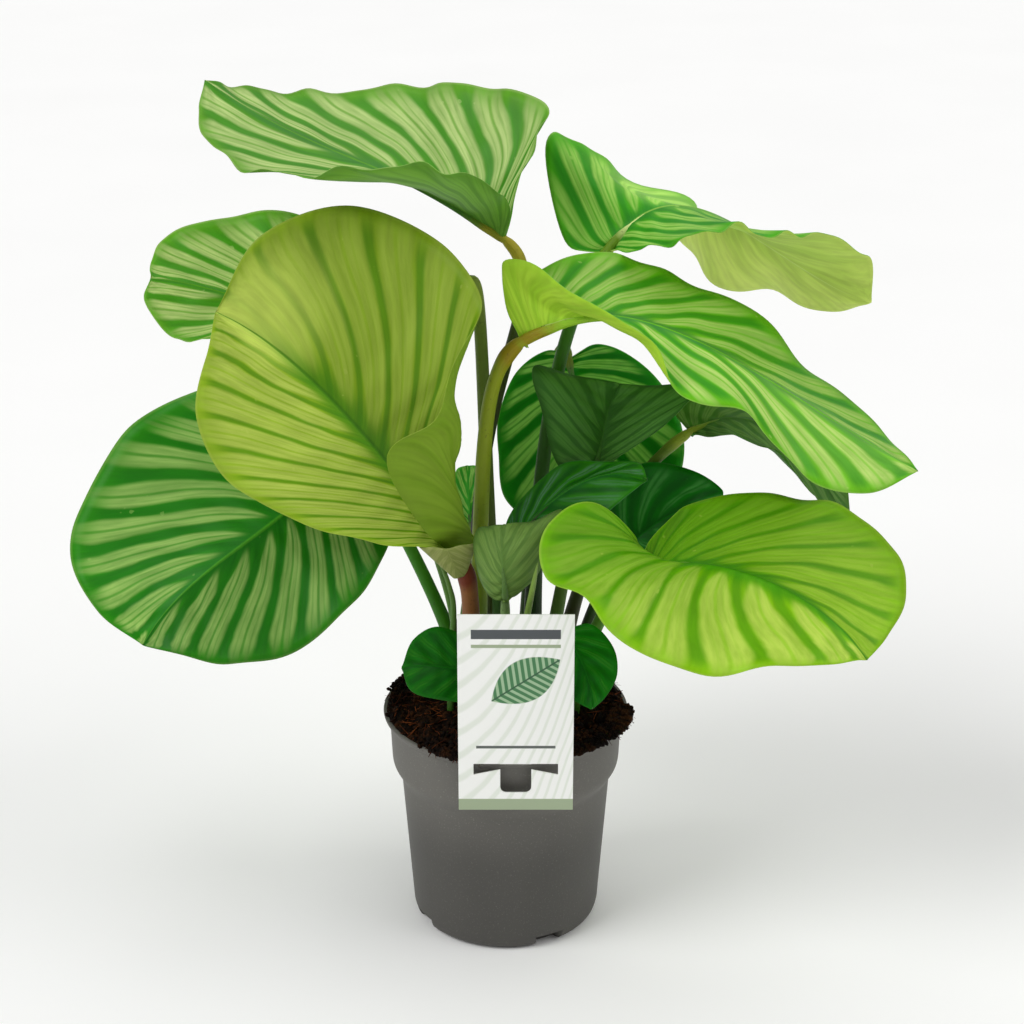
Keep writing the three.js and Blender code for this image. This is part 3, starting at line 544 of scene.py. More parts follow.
def blade_piece(name, leaf):
    """Upper and lower face of a blade: the sheet with a pleat per band, a cosine of the band's
    phase, and two sine waves that grow with the square of the way to the margin; then moved
    along its normals by half the thickness and by a rib, which is a bell curve of v."""
    look = leaf["look"]
    reach = np.linalg.norm(np.subtract(leaf["midrib"][3], leaf["midrib"][0]))
    steps, halves = BLADE_STEPS if reach > SMALL_LEAF else SMALL_STEPS
    u = np.arange(1, steps) / steps
    half = (np.arange(1, halves + 1) / halves) ** 1.5
    w = np.concatenate([-half[::-1], [0.0], half])
    U, W = np.meshgrid(u, w, indexing="ij")
    sheet, width = blade_sheet(leaf, U, W)
    normals = sheet_normals(sheet)
    V = np.abs(W)
    shift = np.where(W > 0, SIDE_SHIFT, 0.0)
    pleat = np.cos(2 * np.pi * (look["bands"] * U + shift)) * np.sin(np.pi * V**0.8)
    turns = 2 * np.pi * look["waves"] * U
    beat = np.sin(turns + shift * 5 + reach) + 0.4 * np.sin(1.7 * turns + shift * 3 + reach)
    outer = np.clip((V - FLAT_SHARE) / (1 - FLAT_SHARE), 0, 1) ** 2
    wave = look["ripple"] * beat * outer * np.sin(np.pi * U) ** 0.5
    sheet = sheet + normals * (PLEAT_HEIGHT * pleat + wave)[..., None]
    normals = sheet_normals(sheet)
    near = np.exp(-((V * width / RIB_WIDTH) ** 2))
    thick = HALF_THICKNESS + (RIM_THICKNESS - HALF_THICKNESS) * V**4
    upper = sheet + normals * (thick + near * RIB_ABOVE * (1 - U))[..., None]
    lower = sheet - normals * (thick + near * (RIB_BELOW + RIB_GAIN * (1 - U)))[..., None]
    rows, columns = U.shape
    count = rows * columns
    ends = leaf["midrib"][0], leaf["midrib"][3]
    points = np.vstack([upper.reshape(-1, 3), lower.reshape(-1, 3), *ends])
    flat_uv = np.stack([U, 0.5 + 0.5 * W], -1).reshape(-1, 2)
    uv = np.vstack([flat_uv, flat_uv, [0.0, 0.5], [1.0, 0.5]])
    base, tip = 2 * count, 2 * count + 1
    first, last = np.arange(columns), np.arange(columns) + (rows - 1) * columns
    left, right = np.arange(rows) * columns, np.arange(rows) * columns + columns - 1
    top = [grid_faces(rows, columns), fan_faces(base, first, True), fan_faces(tip, last)]
    bottom = [
        grid_faces(rows, columns, count, True),
        fan_faces(base, first + count),
        fan_faces(tip, last + count, True),
    ]
    rim = []
    for edge, turn in ((left, False), (right, True)):
        quads = np.stack([edge[:-1], edge[1:], edge[1:] + count, edge[:-1] + count], -1)
        rim.append(quads[:, ::-1] if turn else quads)
        closes = np.array([
            [base, edge[0], edge[0] + count, -1],
            [tip, edge[-1] + count, edge[-1], -1],
        ])
        rim.append(closes[:, [0, 2, 1, 3]] if turn else closes)
    groups = [np.vstack(top), np.vstack(bottom), np.vstack(rim)]
    sizes = [len(group) for group in groups]
    slots = np.repeat([0, 1, 0], sizes)
    flat = np.repeat([False, False, True], sizes)
    return new_piece(name, points, np.vstack(groups), uv, slots, flat)


def paint(code):
    """A colour written as on a colour chart (red, green, blue in hex) as linear light."""
    share = np.array([int(code[n : n + 2], 16) / 255 for n in (0, 2, 4)])
    linear = np.where(share <= 0.04045, share / 12.92, ((share + 0.055) / 1.055) ** 2.4)
    return (*[float(c) for c in linear], 1.0)


class Wire:
    """A value inside a material: Python arithmetic on it adds Math nodes."""

    def __init__(self, tree, socket=None):
        self.tree = tree
        self.socket = socket

    def node(self, kind, settings=None, values=None, output=0):
        """A new node: its settings are set first, then its sockets' values or links."""
        made = self.tree.nodes.new(kind)
        for key, value in (settings or {}).items():
            if key == "stops":
                while len(made.color_ramp.elements) < len(value):
                    made.color_ramp.elements.new(0.5)
                for stop, (place, colour) in zip(made.color_ramp.elements, value):
                    stop.position = place
                    stop.color = colour
            else:
                setattr(made, key, value)
        for key, value in (values or {}).items():
            if isinstance(value, Wire):
                self.tree.links.new(value.socket, made.inputs[key])
            else:
                made.inputs[key].default_value = value
        return Wire(self.tree, made.outputs[output])

    def math(self, operation, *values):
        """A Math node's operation on these values."""
        return self.node("ShaderNodeMath", {"operation": operation}, dict(enumerate(values)))

    def __add__(self, other):
        return self.math("ADD", self, other)

    def __sub__(self, other):
        return self.math("SUBTRACT", self, other)

    def __mul__(self, other):
        return self.math("MULTIPLY", self, other)

    def __rsub__(self, other):
        return self.math("SUBTRACT", other, self)

    def __pow__(self, other):
        return self.math("POWER", self, other)

    def __abs__(self):
        return self.math("ABSOLUTE", self)

    __radd__ = __add__
    __rmul__ = __mul__

    def place(self, kind="Object"):
        """Where the shaded point lies, in object coordinates or on the UV map."""
        return self.node("ShaderNodeTexCoord", output=kind)

    def parts(self):
        """The X, Y and Z of a place."""
        split = self.node("ShaderNodeSeparateXYZ", {}, {0: self}).socket.node
        return [Wire(self.tree, output) for output in split.outputs]

    def step(self, low, high):
        """0 up to low and 1 from high on, with a smooth step between them."""
        settings = {"interpolation_type": "SMOOTHSTEP"}
        return self.node("ShaderNodeMapRange", settings, {0: self, 1: low, 2: high})

    def mix(self, low, high):
        """Colour low where this value is 0 and colour high where it is 1."""
        settings = {"data_type": "RGBA", "clamp_factor": True}
        return self.node("ShaderNodeMix", settings, {0: self, 6: low, 7: high}, 2)

    def tint(self, colour):
        """The colour made lighter or darker by this value."""
        return self.node("ShaderNodeVectorMath", {"operation": "SCALE"}, {0: colour, 3: self})

    def noise(self, scale, detail=2.0, where=None, stretch=None):
        """Soft noise between 0 and 1 over object coordinates, or over a given place."""
        place = where or self.place()
        if stretch:
            place = place.node("ShaderNodeMapping", {}, {0: place, 3: stretch})
        values = {"Vector": place, "Scale": scale, "Detail": detail}
        return self.node("ShaderNodeTexNoise", {}, values)


def coat(piece, name, build, **constants):
    """Gives a piece a material: build(start) makes what varies, and the rest is constant."""
    material = bpy.data.materials.new(name)
    material.use_nodes = True
    tree = material.node_tree
    shader = tree.nodes["Principled BSDF"]
    for key, value in constants.items():
        shader.inputs[key.replace("_", " ")].default_value = value
    for key, value in build(Wire(tree)).items():
        if isinstance(value, Wire):
            tree.links.new(value.socket, shader.inputs[key])
        else:
            shader.inputs[key].default_value = value
    piece.data.materials.append(material)


def bump(height, distance, strength=1.0):
    """The Normal that a height gives, in millimetres from its lowest to its highest point."""
    values = {"Height": height, "Distance": distance * MM, "Strength": strength}
    return height.node("ShaderNodeBump", {}, values)


def blade_pattern(start, look):
    """What lies where on a blade. A band starts at the midrib further back than it ends at the
    margin, by lean * (1 - v)^1.6 * (1 - u^4), and the phase counts bands from base to tip.
    Returns u along the blade and v out from the midrib; side, 1 on the right half; off, from 0
    in a band's middle to 1 at a vein; silver, 1 where off is less than the band's width, which
    grows from the midrib outwards and closes at the margin; the fine lines, one in the band's
    middle and one on each side of it; the rib; and the grain, noise drawn out along the veins."""
    place = start.place("UV")
    u, w, _ = place.parts()
    w = w * 2.0 - 1.0
    v = abs(w)
    side = w.math("GREATER_THAN", w, 0.0)
    lean = (1.0 - v) ** 1.6 * (1.0 - u**4.0) * look["lean"]
    sway = start.noise(1.0, 2.0, place, (look["bands"] * 0.5, 1.4, 1.0)) - 0.5
    phase = (u + lean) * float(look["bands"]) + side * SIDE_SHIFT + sway * 0.28
    cell = phase.math("FRACT", phase) - 0.5
    off = abs(cell) * 2.0
    which = phase.math("FLOOR", phase) + side * 31.0
    chance = which.node("ShaderNodeTexWhiteNoise", {"noise_dimensions": "1D"}, {"W": which})
    grain_at = phase.node("ShaderNodeCombineXYZ", {}, {0: phase, 1: v * 0.55, 2: side * 9.0})
    grain = start.noise(6.5, 3.0, grain_at).step(0.25, 0.75)
    wander_at = phase.node("ShaderNodeCombineXYZ", {}, {0: v, 1: which * 3.7})
    wander = start.noise(3.0, 2.0, wander_at) - 0.5
    ends = v + chance * 0.07 + grain * 0.07 - 0.07
    closing = 1.0 - ends.step(0.80, look["reach"])
    root = look["root"]
    narrow = (root + v.step(0.0, 0.30) * (1.0 - root)) * (0.72 + closing * 0.28)
    width = narrow * (look["width"] + chance * 0.16 - 0.08 + wander * 0.5)
    silver = (1.0 - off.step(width - 0.16, width + 0.14)) * closing * v.step(0.015, 0.10)
    fading = v.step(0.04, 0.16) * (1.0 - v.step(0.90, 1.0))
    line = (1.0 - off.step(0.02, 0.14)) * look["line"]
    twin = abs(off - 0.38)
    line = (line + (1.0 - twin.step(0.0, 0.09)) * (0.1 + chance * 0.5)) * fading
    rib = 1.0 - v.step(0.006, 0.018)
    return u, v, side, off, silver, line, rib, grain


def between(share, ends):
    """From the first end to the second as share goes from 0 to 1."""
    return share * (ends[1] - ends[0]) + ends[0]


def upper_face(look):
    """Upper face: green, darkest along the veins and around the midrib. The silver, less its
    lines, times grain and gleam is the share of pale over it; gleam is partly painted shade on
    one half. Near the base back mixes in the core colour, painted shade in the leaf's funnel.
    The sheen is a painted highlight: it falls with the square of the distance from the lit place,
    mixes in the pale colour and lightens the face. Specks and the thin rim are pale. The tone,
    from cloud and grain times the painted shade of each half, makes the whole lighter or darker."""

    def build(start):
        u, v, side, off, silver, line, rib, grain = blade_pattern(start, look)
        cloud = start.noise(14.0, 3.0)
        vein = off.step(look["vein"], 0.90) * (1.0 - v.step(0.84, 1.0))
        ground = (vein * 0.9).mix(paint(look["edge"]), paint(look["dark"]))
        # gleam is the silver's strength on each half, partly painted shade on a half out of the
        # light.
        gleam = between(side, look["gleam"]) * between(u.step(0.05, look["late"]), (0.25, 1.0))
        shine = silver * (1.0 - line * 0.8) * (0.66 + grain * 0.34) * gleam
        colour = shine.mix(ground, paint(look["pale"]))
        middle = (1.0 - v.step(0.02, 0.16)) * (1.0 - silver * 0.7) * 0.85
        colour = middle.mix(colour, paint(look["core"]))
        # Painted shade: the core colour darkens the base, where the leaf forms a funnel.
        back = (1.0 - u.step(0.25, 0.75)) * look["back"]
        colour = back.mix(colour, paint(look["core"]))
        # Painted highlight: the sheen mixes in pale around the lit place and lightens it.
        lit_u, lit_w = look["lit"]
        w = v * (side * 2.0 - 1.0)
        away = (u - lit_u) * (u - lit_u) * 8.0 + (w - lit_w) * (w - lit_w) * 0.9
        sheen = (1.0 - away.step(0.0, 0.6)) * look["sheen"]
        colour = sheen.mix(colour, paint(look["pale"]))
        colour = (rib * 0.8).mix(colour, paint(look.get("rib", look["edge"])))
        specks = start.noise(150.0, 1.0).step(0.76, 0.80)
        colour = (specks * 0.35 + v.step(0.978, 0.995) * 0.30).mix(colour, paint(look["pale"]))
        # Painted shade: each half's tone is scaled by shade, and the painted highlight lightens it
        # further.
        tone = (0.76 + cloud * 0.26 + grain * 0.20) * between(side, look["shade"])
        tone = tone * (1.0 + sheen * 0.6)
        relief = silver * 0.5 - line * 0.3 + grain * 0.2
        return {
            "Base Color": tone.tint(colour),
            "Roughness": 0.40 + silver * 0.10 + cloud * 0.12,
            "Normal": bump(relief, 0.35),
        }

    return build


def lower_face(look):
    """Lower face: paler and duller; what is not silver above is vein-coloured here, and the rib
    is a ridge of its own colour."""

    def build(start):
        *_, silver, line, rib, grain = blade_pattern(start, look)
        cloud = start.noise(14.0, 3.0)
        veins = (1.0 - silver) * 0.6 + line * 0.35
        colour = veins.mix(paint(look["under"]), paint(look["veins"]))
        colour = (rib * 0.6).mix(colour, paint(look["ridge"]))
        tone = 0.72 + cloud * 0.34 + grain * 0.20
        return {
            "Base Color": tone.tint(colour),
            "Roughness": 0.54 + cloud * 0.12,
            "Normal": bump(grain * 0.3 - veins * 0.4, 0.35),
        }

    return build


for name, leaf in LEAVES.items():
    look = {**SHARED_LOOK, **leaf["look"]}
    blade = blade_piece("leaf_blade_" + name, leaf)
    coat(blade, "leaf_top_" + name, upper_face(look), Specular_IOR_Level=0.16)
    coat(blade, "leaf_back_" + name, lower_face(look), Specular_IOR_Level=0.15)
    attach(blade, "root")
    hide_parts("blade_" + name)

# The stalks: one to each leaf, fleshy and round, thicker at the foot, where a sheath is wrapped
# around it, with a swollen joint just below the blade, and running on under the blade as its
# midrib. Each grows out of the soil. Per leaf: its colours from the foot to the joint.
STALKS = {
    "high_left": ("1a100e", "1a1c0a", "4a5a12", "b4a62c"),
    "back_left": ("2a2418", "5a7020", "7a8e30", "868e30"),
    "front_left": ("3a1606", "6e401e", "86562a", "702e12"),
    "low_left": ("2f6010", "3a8404", "44900a", "8aa030"),
    "high_right": ("1a1c10", "245408", "3f7a0a", "6a9018"),
    "mid_right": ("4a7014", "8aa428", "94a01a", "98860e"),
    "centre_back": ("2a4a14", "3f6418", "5a7a20", "7a8a30"),
    "centre": ("3a5a18", "4a7020", "6a8030", "7a8a38"),
    "back_right": ("3a1c10", "3a4a16", "5f7a1c", "8a9a2a"),
    "low_centre": ("1c1410", "223010", "2f5a1a", "4a6a2a"),
    "low_back": ("140c0a", "2a2010", "2f5a1a", "4a6a2a"),
    "low_right": ("2c5a10", "3f7a18", "5a8a1c", "8a9a30"),
    "cup": ("3a5a28", "5a7a40", "6a8a50", "7a9a5a"),
    "small_left": ("2f6a1c", "3f7a24", "4a8a2a", "5a9a3a"),
    "small_right": ("2f6a1c", "3f7a24", "4a8a2a", "5a9a3a"),
    "behind": ("3a6a1c", "4f8428", "5c8a30", "7a9a4a"),
    "rear": ("3a5a1c", "4f7a28", "5c8a30", "9a9a50"),
}
STALK_FOOT_DEPTH = 24.0
STALK_RINGS = 60
MIDRIB_RINGS = 26
MIDRIB_SHARE = 0.5
STALK_SHARE = 0.86
STALK_SIDES = 20
JOINT_LENGTH = 16.0
JOINT_SWELLING = 0.20
SHEATH_SWELLING = 0.40
SHEATH_START = 0.10
SHEATH_FADE = 0.34
RIDGE_TIP = 0.5
FOOT_SHARE = 0.05
RISE_SHARE = 0.36
SOIL_EDGE = 158.6
SOIL_HEAP = 9.0
SOIL_RADIUS = 82.4


def soil_height(x, y):
    """Height of the heaped soil: a flat dome, 1 - r^2 of its height above the edge."""
    return SOIL_EDGE + SOIL_HEAP * (1 - (x * x + y * y) / SOIL_RADIUS**2)


def foot_at(place):
    """The foot of a stem that leaves the soil at a place: STALK_FOOT_DEPTH below the soil's top."""
    x, y = place
    return np.array([x, y, soil_height(x, y) - STALK_FOOT_DEPTH])


def tube_piece(name, path, radius, sides, lengthwise):
    """A round section carried along a path. Each ring stands square to the path: its two
    directions are the cross products of the path's direction with Y, and with the first."""
    way = unit(np.gradient(path, axis=0))
    first = unit(np.cross(way, (0.0, 1.0, 0.0)))
    second = np.cross(first, way)
    angle = np.linspace(0, 2 * np.pi, sides, endpoint=False)[:, None]
    ring = np.cos(angle) * first[:, None] + np.sin(angle) * second[:, None]
    points = (path[:, None] + radius[:, None, None] * ring).reshape(-1, 3)
    rows = len(path)
    foot, end = rows * sides, rows * sides + 1
    points = np.vstack([points, path[0], path[-1]])
    loop = np.r_[np.arange(sides), 0]
    faces = np.vstack([
        grid_faces(rows, sides, 0, True, True),
        fan_faces(foot, loop),
        fan_faces(end, loop + (rows - 1) * sides, True),
    ])
    around = np.abs(np.linspace(-1, 1, sides, endpoint=False))
    uv = np.stack(np.meshgrid(lengthwise, around, indexing="ij"), -1).reshape(-1, 2)
    uv = np.vstack([uv, [lengthwise[0], 0.0], [lengthwise[-1], 0.0]])
    return new_piece(name, points, faces, uv)


def stem_face(stops):
    """A fleshy stem: a ramp of colours from foot to tip, its place shifted a little by cloud,
    then brown freckles, and a tone from cloud and from noise drawn out into long fine lines."""

    def build(start):
        place = start.place("UV")
        share, *_ = place.parts()
        cloud = start.noise(60.0, 3.0)
        lines = start.noise(1.0, 2.0, place, (3.0, 34.0, 1.0))
        freckle = start.noise(420.0, 2.0).step(0.62, 0.74)
        reach = share + (cloud - 0.5) * 0.08
        ramp = [(stop, paint(colour)) for stop, colour in stops]
        colour = reach.node("ShaderNodeValToRGB", {"stops": ramp}, {0: reach})
        colour = (freckle * 0.35).mix(colour, paint("3a2a1c"))
        tone = 0.72 + cloud * 0.30 + lines * 0.26
        return {
            "Base Color": tone.tint(colour),
            "Roughness": 0.38 + cloud * 0.16,
            "Normal": bump(lines, 0.35),
        }

    return build


for name, leaf in LEAVES.items():
    foot = foot_at(leaf["foot"])
    base = np.array(leaf["midrib"][0], float)
    _, ways = bezier(control_points(leaf["midrib"]), np.zeros(1))
    curve = np.array([foot, foot + leaf["rise"], base - ways[0] * leaf["bend"], base])
    rising, _ = bezier(curve, np.linspace(0, 1, STALK_RINGS))
    steps = np.linspace(0, 1, MIDRIB_RINGS + 1)[1:]
    thick, thin = leaf["radius"]
    under, _, up, _ = midrib_frame(leaf, steps * MIDRIB_SHARE)
    thinning = thin * 0.8 * (1 - steps) ** 1.2 + RIDGE_TIP
    run = under - up * (thinning * 0.75 * np.minimum(1, steps * 6))[:, None]
    path = np.vstack([rising, run])
    length = np.r_[0, np.cumsum(np.linalg.norm(np.diff(rising, axis=0), axis=1))]
    share = length / length[-1]
    to_joint = (length[-1] - length) / JOINT_LENGTH
    swelling = JOINT_SWELLING * np.exp(-((to_joint - 0.8) ** 2) * 3)
    above = np.clip((share - SHEATH_START) / SHEATH_FADE, 0, 1)
    sheath = SHEATH_SWELLING * (1 - above) ** 1.5
    radius = (thick + (thin - thick) * share) * (1 + swelling + sheath)
    radius = np.r_[radius * np.clip(0.8 + to_joint, 0, 1), thinning]
    lengthwise = np.r_[share * STALK_SHARE, STALK_SHARE + steps * (1 - STALK_SHARE)]
    stalk = tube_piece("leaf_stalk_" + name, path, radius, STALK_SIDES, lengthwise)
    joint = STALK_SHARE * (1 - JOINT_LENGTH / length[-1])
    low, middle, high, swollen = STALKS[name]
    stops = [
        (FOOT_SHARE, low), (RISE_SHARE, middle), (joint - 0.03, high), (joint + 0.01, swollen),
        (STALK_SHARE, swollen),
        (STALK_SHARE + 0.04, leaf["look"].get("ridge", leaf["look"]["veins"])),
    ]
    coat(stalk, "stalk_finish_" + name, stem_face(stops), Specular_IOR_Level=0.25)
    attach(stalk, "root")
    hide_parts("stalk_" + name)

# The rolled base of the front left leaf: below the blade its two margins meet in a short cone of
# pale underside that narrows down onto the stalk's joint. It runs straight from a wide half
# ellipse under the blade to a small one at the joint.
CONE_ROWS, CONE_COLUMNS = 24, 40
CONE_MIDDLE = (-38.0, -43.0, 300.5)
CONE_FOOT = (-30.0, -36.5, 273.0)
CONE_HALF = (20.0, 4.6)
CONE_DEPTH = (12.0, 3.6)
CONE_LIFT = 1.5
CONE_WAVE = 0.6
CONE_SHEET = 0.7
down, turn = np.meshgrid(
    np.linspace(0, 1, CONE_ROWS), np.linspace(-1, 1, CONE_COLUMNS), indexing="ij"
)
hoop = np.sqrt(np.maximum(0, 1 - turn**2))
ends = [
    np.stack([x + half * turn, y - depth * hoop, z + CONE_LIFT * turn], -1)
    for (x, y, z), half, depth in zip((CONE_MIDDLE, CONE_FOOT), CONE_HALF, CONE_DEPTH)
]
points = ends[0] + (ends[1] - ends[0]) * (down**0.85)[..., None]
points[..., 2] -= CONE_WAVE * np.cos(turn * 7.0) * (1 - down)
uv = np.stack([0.2 + 0.5 * down, 0.5 + 0.4 * turn], -1).reshape(-1, 2)
faces = grid_faces(CONE_ROWS, CONE_COLUMNS, 0, True)
cone = new_piece("leaf_base_cone", points.reshape(-1, 3), faces, uv)
sheet = cone.modifiers.new("thickness", "SOLIDIFY")
sheet.thickness = CONE_SHEET * MM
sheet.offset = -1.0
cone_look = {**SHARED_LOOK, "under": "98a05c", "veins": "7c8a42", "ridge": "98a05c", "bands": 9}
coat(cone, "leaf_back_cone", lower_face(cone_look), Specular_IOR_Level=0.15)
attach(cone, "root")

# The young shoots: leaves still rolled up, thin and pointed, two bent outwards at the left and
# one pale one upright beside the label. Each grows out of the soil on its own.
SHOOT_POINT = 0.1
SHOOTS = {
    "left": dict(
        foot=(-30, -14), path=[(-32, -15, 200), (-37, -14, 240), (-46, -9, 272), (-56, -5, 301)],
        radius=(3.0, 1.6), colours=("3f7020", "5a8a2c", "6f9a3a"),
    ),
    "front": dict(
        foot=(-38, -22), path=[(-37, -22, 200), (-35, -20, 240), (-38, -18, 258), (-46, -14, 280)],
        radius=(2.6, 1.4), colours=("3f7020", "5a8a2c", "6f9a3a"),
    ),
    "middle": dict(
        foot=(9, -38), path=[(10, -46, 200), (12, -62, 240), (21, -78, 300)],
        radius=(5.4, 1.4), colours=("5f8a34", "86a84a", "7fa040"),
    ),
}
for name, shoot in SHOOTS.items():
    share = np.linspace(0, 1, STALK_RINGS)
    path = through([foot_at(shoot["foot"]), *shoot["path"]], share)
    thick, thin = shoot["radius"]
    pointing = np.clip((share - (1 - SHOOT_POINT)) / SHOOT_POINT, 0, 1)
    radius = (thick + (thin - thick) * share) * (1 - 0.85 * pointing**2)
    rolled = tube_piece("young_shoot_" + name, path, radius, STALK_SIDES, share)
    stops = list(zip((0.2, 0.6, 1.0), shoot["colours"]))
    coat(rolled, "shoot_finish_" + name, stem_face(stops))
    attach(rolled, "root")
    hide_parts("shoot_" + name)

# The soil: dark peat, filled in and heaped to the rim, lumpy, with loose crumbs and reddish coir
# fibres. Some of it has spilled on and over the pot's lip, most at the front right and at the
# back left. Per spill: its direction and spread in degrees, how far out it reaches, its crumbs.
SOIL_RINGS = 64
SOIL_SIDES = 260
SOIL_WALL = [(0.0, 5.4), (58.0, 5.4), (62.6, 10.0), (70.6, 110.0), (76.6, 122.0), (78.4, 150.0)]
LUMPS = [(19.0, 2.2), (9.0, 1.7), (4.0, 1.1)]
LUMP_WAVES = 9
LUMP_FADE = 4.0
CRUMBS = 2300
CRUMB_SIZE = (0.8, 3.2)
SPILLED_SIZE = (0.8, 2.4)
FIBRES = 620
SPILLED_FIBRES = 80
FIBRE_LENGTH = (6.0, 19.0)
SPILLED_LENGTH = (5.0, 13.0)
SPILLED_DROOP = (0.5, 4.0)
FIBRE_RADIUS = (0.28, 0.66)
FIBRE_RINGS = 6
SPILL_START = 74.0
SPILL_END = 88.0
SPILL_FLOOR = 158.4
SPILL_LIFT = 0.6
SPILL_PILE = 5.0
SPILLS = [
    (147.0, 17.0, 85.5, 320), (-123.0, 8.0, 86.0, 130), (-112.0, 10.0, 86.5, 200),
    (-52.0, 15.0, 88.0, 480), (-22.0, 16.0, 89.0, 620),
]
dice = np.random.default_rng(5)
waves = [
    (height / 3, *(2 * np.pi / size * np.array([math.cos(a), math.sin(a)])), start)
    for size, height in LUMPS
    for a, start in zip(*(dice.uniform(0, 2 * np.pi, LUMP_WAVES) for _ in range(2)))
]


def soil_top(x, y, r):
    """The soil's top: its height, plus lumps that fade to nothing at the edge. The lumps are a
    sum of sine waves in nine directions for each lump size."""
    lumps = sum(height * np.sin(kx * x + ky * y + start) for height, kx, ky, start in waves)
    return soil_height(x, y) + lumps * np.clip((SOIL_RADIUS - r) / LUMP_FADE, 0, 1)


def scatter(count):
    """Places on the soil, spread evenly over its disc: radius grows as the root of chance."""
    r = SOIL_RADIUS * np.sqrt(dice.uniform(0, 1, count))
    a = dice.uniform(0, 2 * np.pi, count)
    x, y = r * np.cos(a), r * np.sin(a)
    return np.stack([x, y, soil_top(x, y, r)], -1)


def spilled(count):
    """Places on and over the lip: around the spills' directions by a bell curve, from
    SPILL_START outwards, and piled up less the further out they lie."""
    weights = np.array([s[3] for s in SPILLS], float)
    pick = dice.choice(len(SPILLS), count, p=weights / weights.sum())
    middle, spread, reach, _ = np.array(SPILLS)[pick].T
    a = np.radians(dice.normal(middle, spread * 0.6))
    r = SPILL_START + (reach - SPILL_START) * dice.uniform(0, 1, count) ** 0.8
    left = np.clip((SPILL_END - r) / (SPILL_END - SPILL_START), 0, 1)
    z = SPILL_FLOOR + dice.uniform(0, SPILL_PILE, count) * left + SPILL_LIFT
    return np.stack([r * np.cos(a), r * np.sin(a), z], -1)


share = np.linspace(1, 0, SOIL_RINGS + 1)[:-1]
angle = np.linspace(0, 2 * np.pi, SOIL_SIDES, endpoint=False)
ring_r, ring_a = np.meshgrid(share * SOIL_RADIUS, angle, indexing="ij")
x, y = ring_r * np.cos(ring_a), ring_r * np.sin(ring_a)
top = np.stack([x, y, soil_top(x, y, ring_r)], -1)
wall_r, wall_z = np.array(SOIL_WALL[1:]).T
wall = np.stack([
    wall_r[:, None] * np.cos(angle), wall_r[:, None] * np.sin(angle), wall_z[:, None] + 0 * angle
], -1)
rows = len(wall) + len(top)
middles = [0, 0, SOIL_WALL[0][1]], [0, 0, soil_height(0, 0)]
points = np.vstack([wall.reshape(-1, 3), top.reshape(-1, 3), *middles])
loop = np.r_[np.arange(SOIL_SIDES), 0]
faces = np.vstack([
    grid_faces(rows, SOIL_SIDES, 0, False, True),
    fan_faces(rows * SOIL_SIDES, loop, True),
    fan_faces(rows * SOIL_SIDES + 1, loop + (rows - 1) * SOIL_SIDES),
])
soil = new_piece("potting_soil", points, faces)


def soil_face(dark, light, size):
    """Damp peat: fine and coarse noise together give the share of lighter brown grains among
    the dark ones; dull, with a coarse relief."""

    def build(start):
        grains = start.noise(size, 6.0)
        patches = start.noise(size * 0.16, 3.0)
        share = (grains * 0.7 + patches * 0.5).step(0.52, 0.86)
        return {
            "Base Color": share.mix(paint(dark), paint(light)),
            "Roughness": 0.80 + grains * 0.18,
            "Normal": bump(grains, 1.4),
        }

    return build


coat(soil, "peat", soil_face("0b0603", "38200e", 420.0), Specular_IOR_Level=0.1)

# A crumb starts as a regular body of twelve corners, (0, 1, golden) with both signs and in three
# turns; any three corners that are all next to each other make one of its twenty faces.
golden = (1 + 5**0.5) / 2
corners = [(0, a, b) for a in (-1, 1) for b in (-golden, golden)]
crumb = np.array(corners + [(b, 0, a) for _, a, b in corners] + [(a, b, 0) for _, a, b in corners])
crumb /= np.linalg.norm(crumb[0])
gaps = np.linalg.norm(crumb[:, None] - crumb[None], axis=-1)
near = (gaps > 0.1) & (gaps < 1.2)
crumb_faces = np.array([
    (i, j, k) if np.linalg.det(crumb[[i, j, k]]) > 0 else (i, k, j)
    for i in range(12) for j in range(i + 1, 12) for k in range(j + 1, 12)
    if near[i, j] and near[j, k] and near[i, k]
])


def crumbs_piece(name, places, sizes):
    """Crumbs: the twenty-sided crumb for each place, its corners stretched along each axis and
    dented by chance, times a chance rotation."""
    count = len(places)
    stretch = dice.uniform(0.55, 1.25, (count, 1, 3)) * sizes[:, None, None]
    dents = dice.uniform(0.75, 1.2, (count, 12, 1))
    turn, _ = np.linalg.qr(dice.normal(0, 1, (count, 3, 3)))
    turn *= np.sign(np.linalg.det(turn))[:, None, None]
    shapes = np.einsum("nvk,njk->nvj", crumb[None] * stretch * dents, turn)
    points = (shapes + places[:, None]).reshape(-1, 3)
    faces = (crumb_faces[None] + 12 * np.arange(count)[:, None, None]).reshape(-1, 3)
    faces = np.hstack([faces, np.full((len(faces), 1), -1)])
    return new_piece(name, points, faces, flat=np.ones(len(faces), bool))


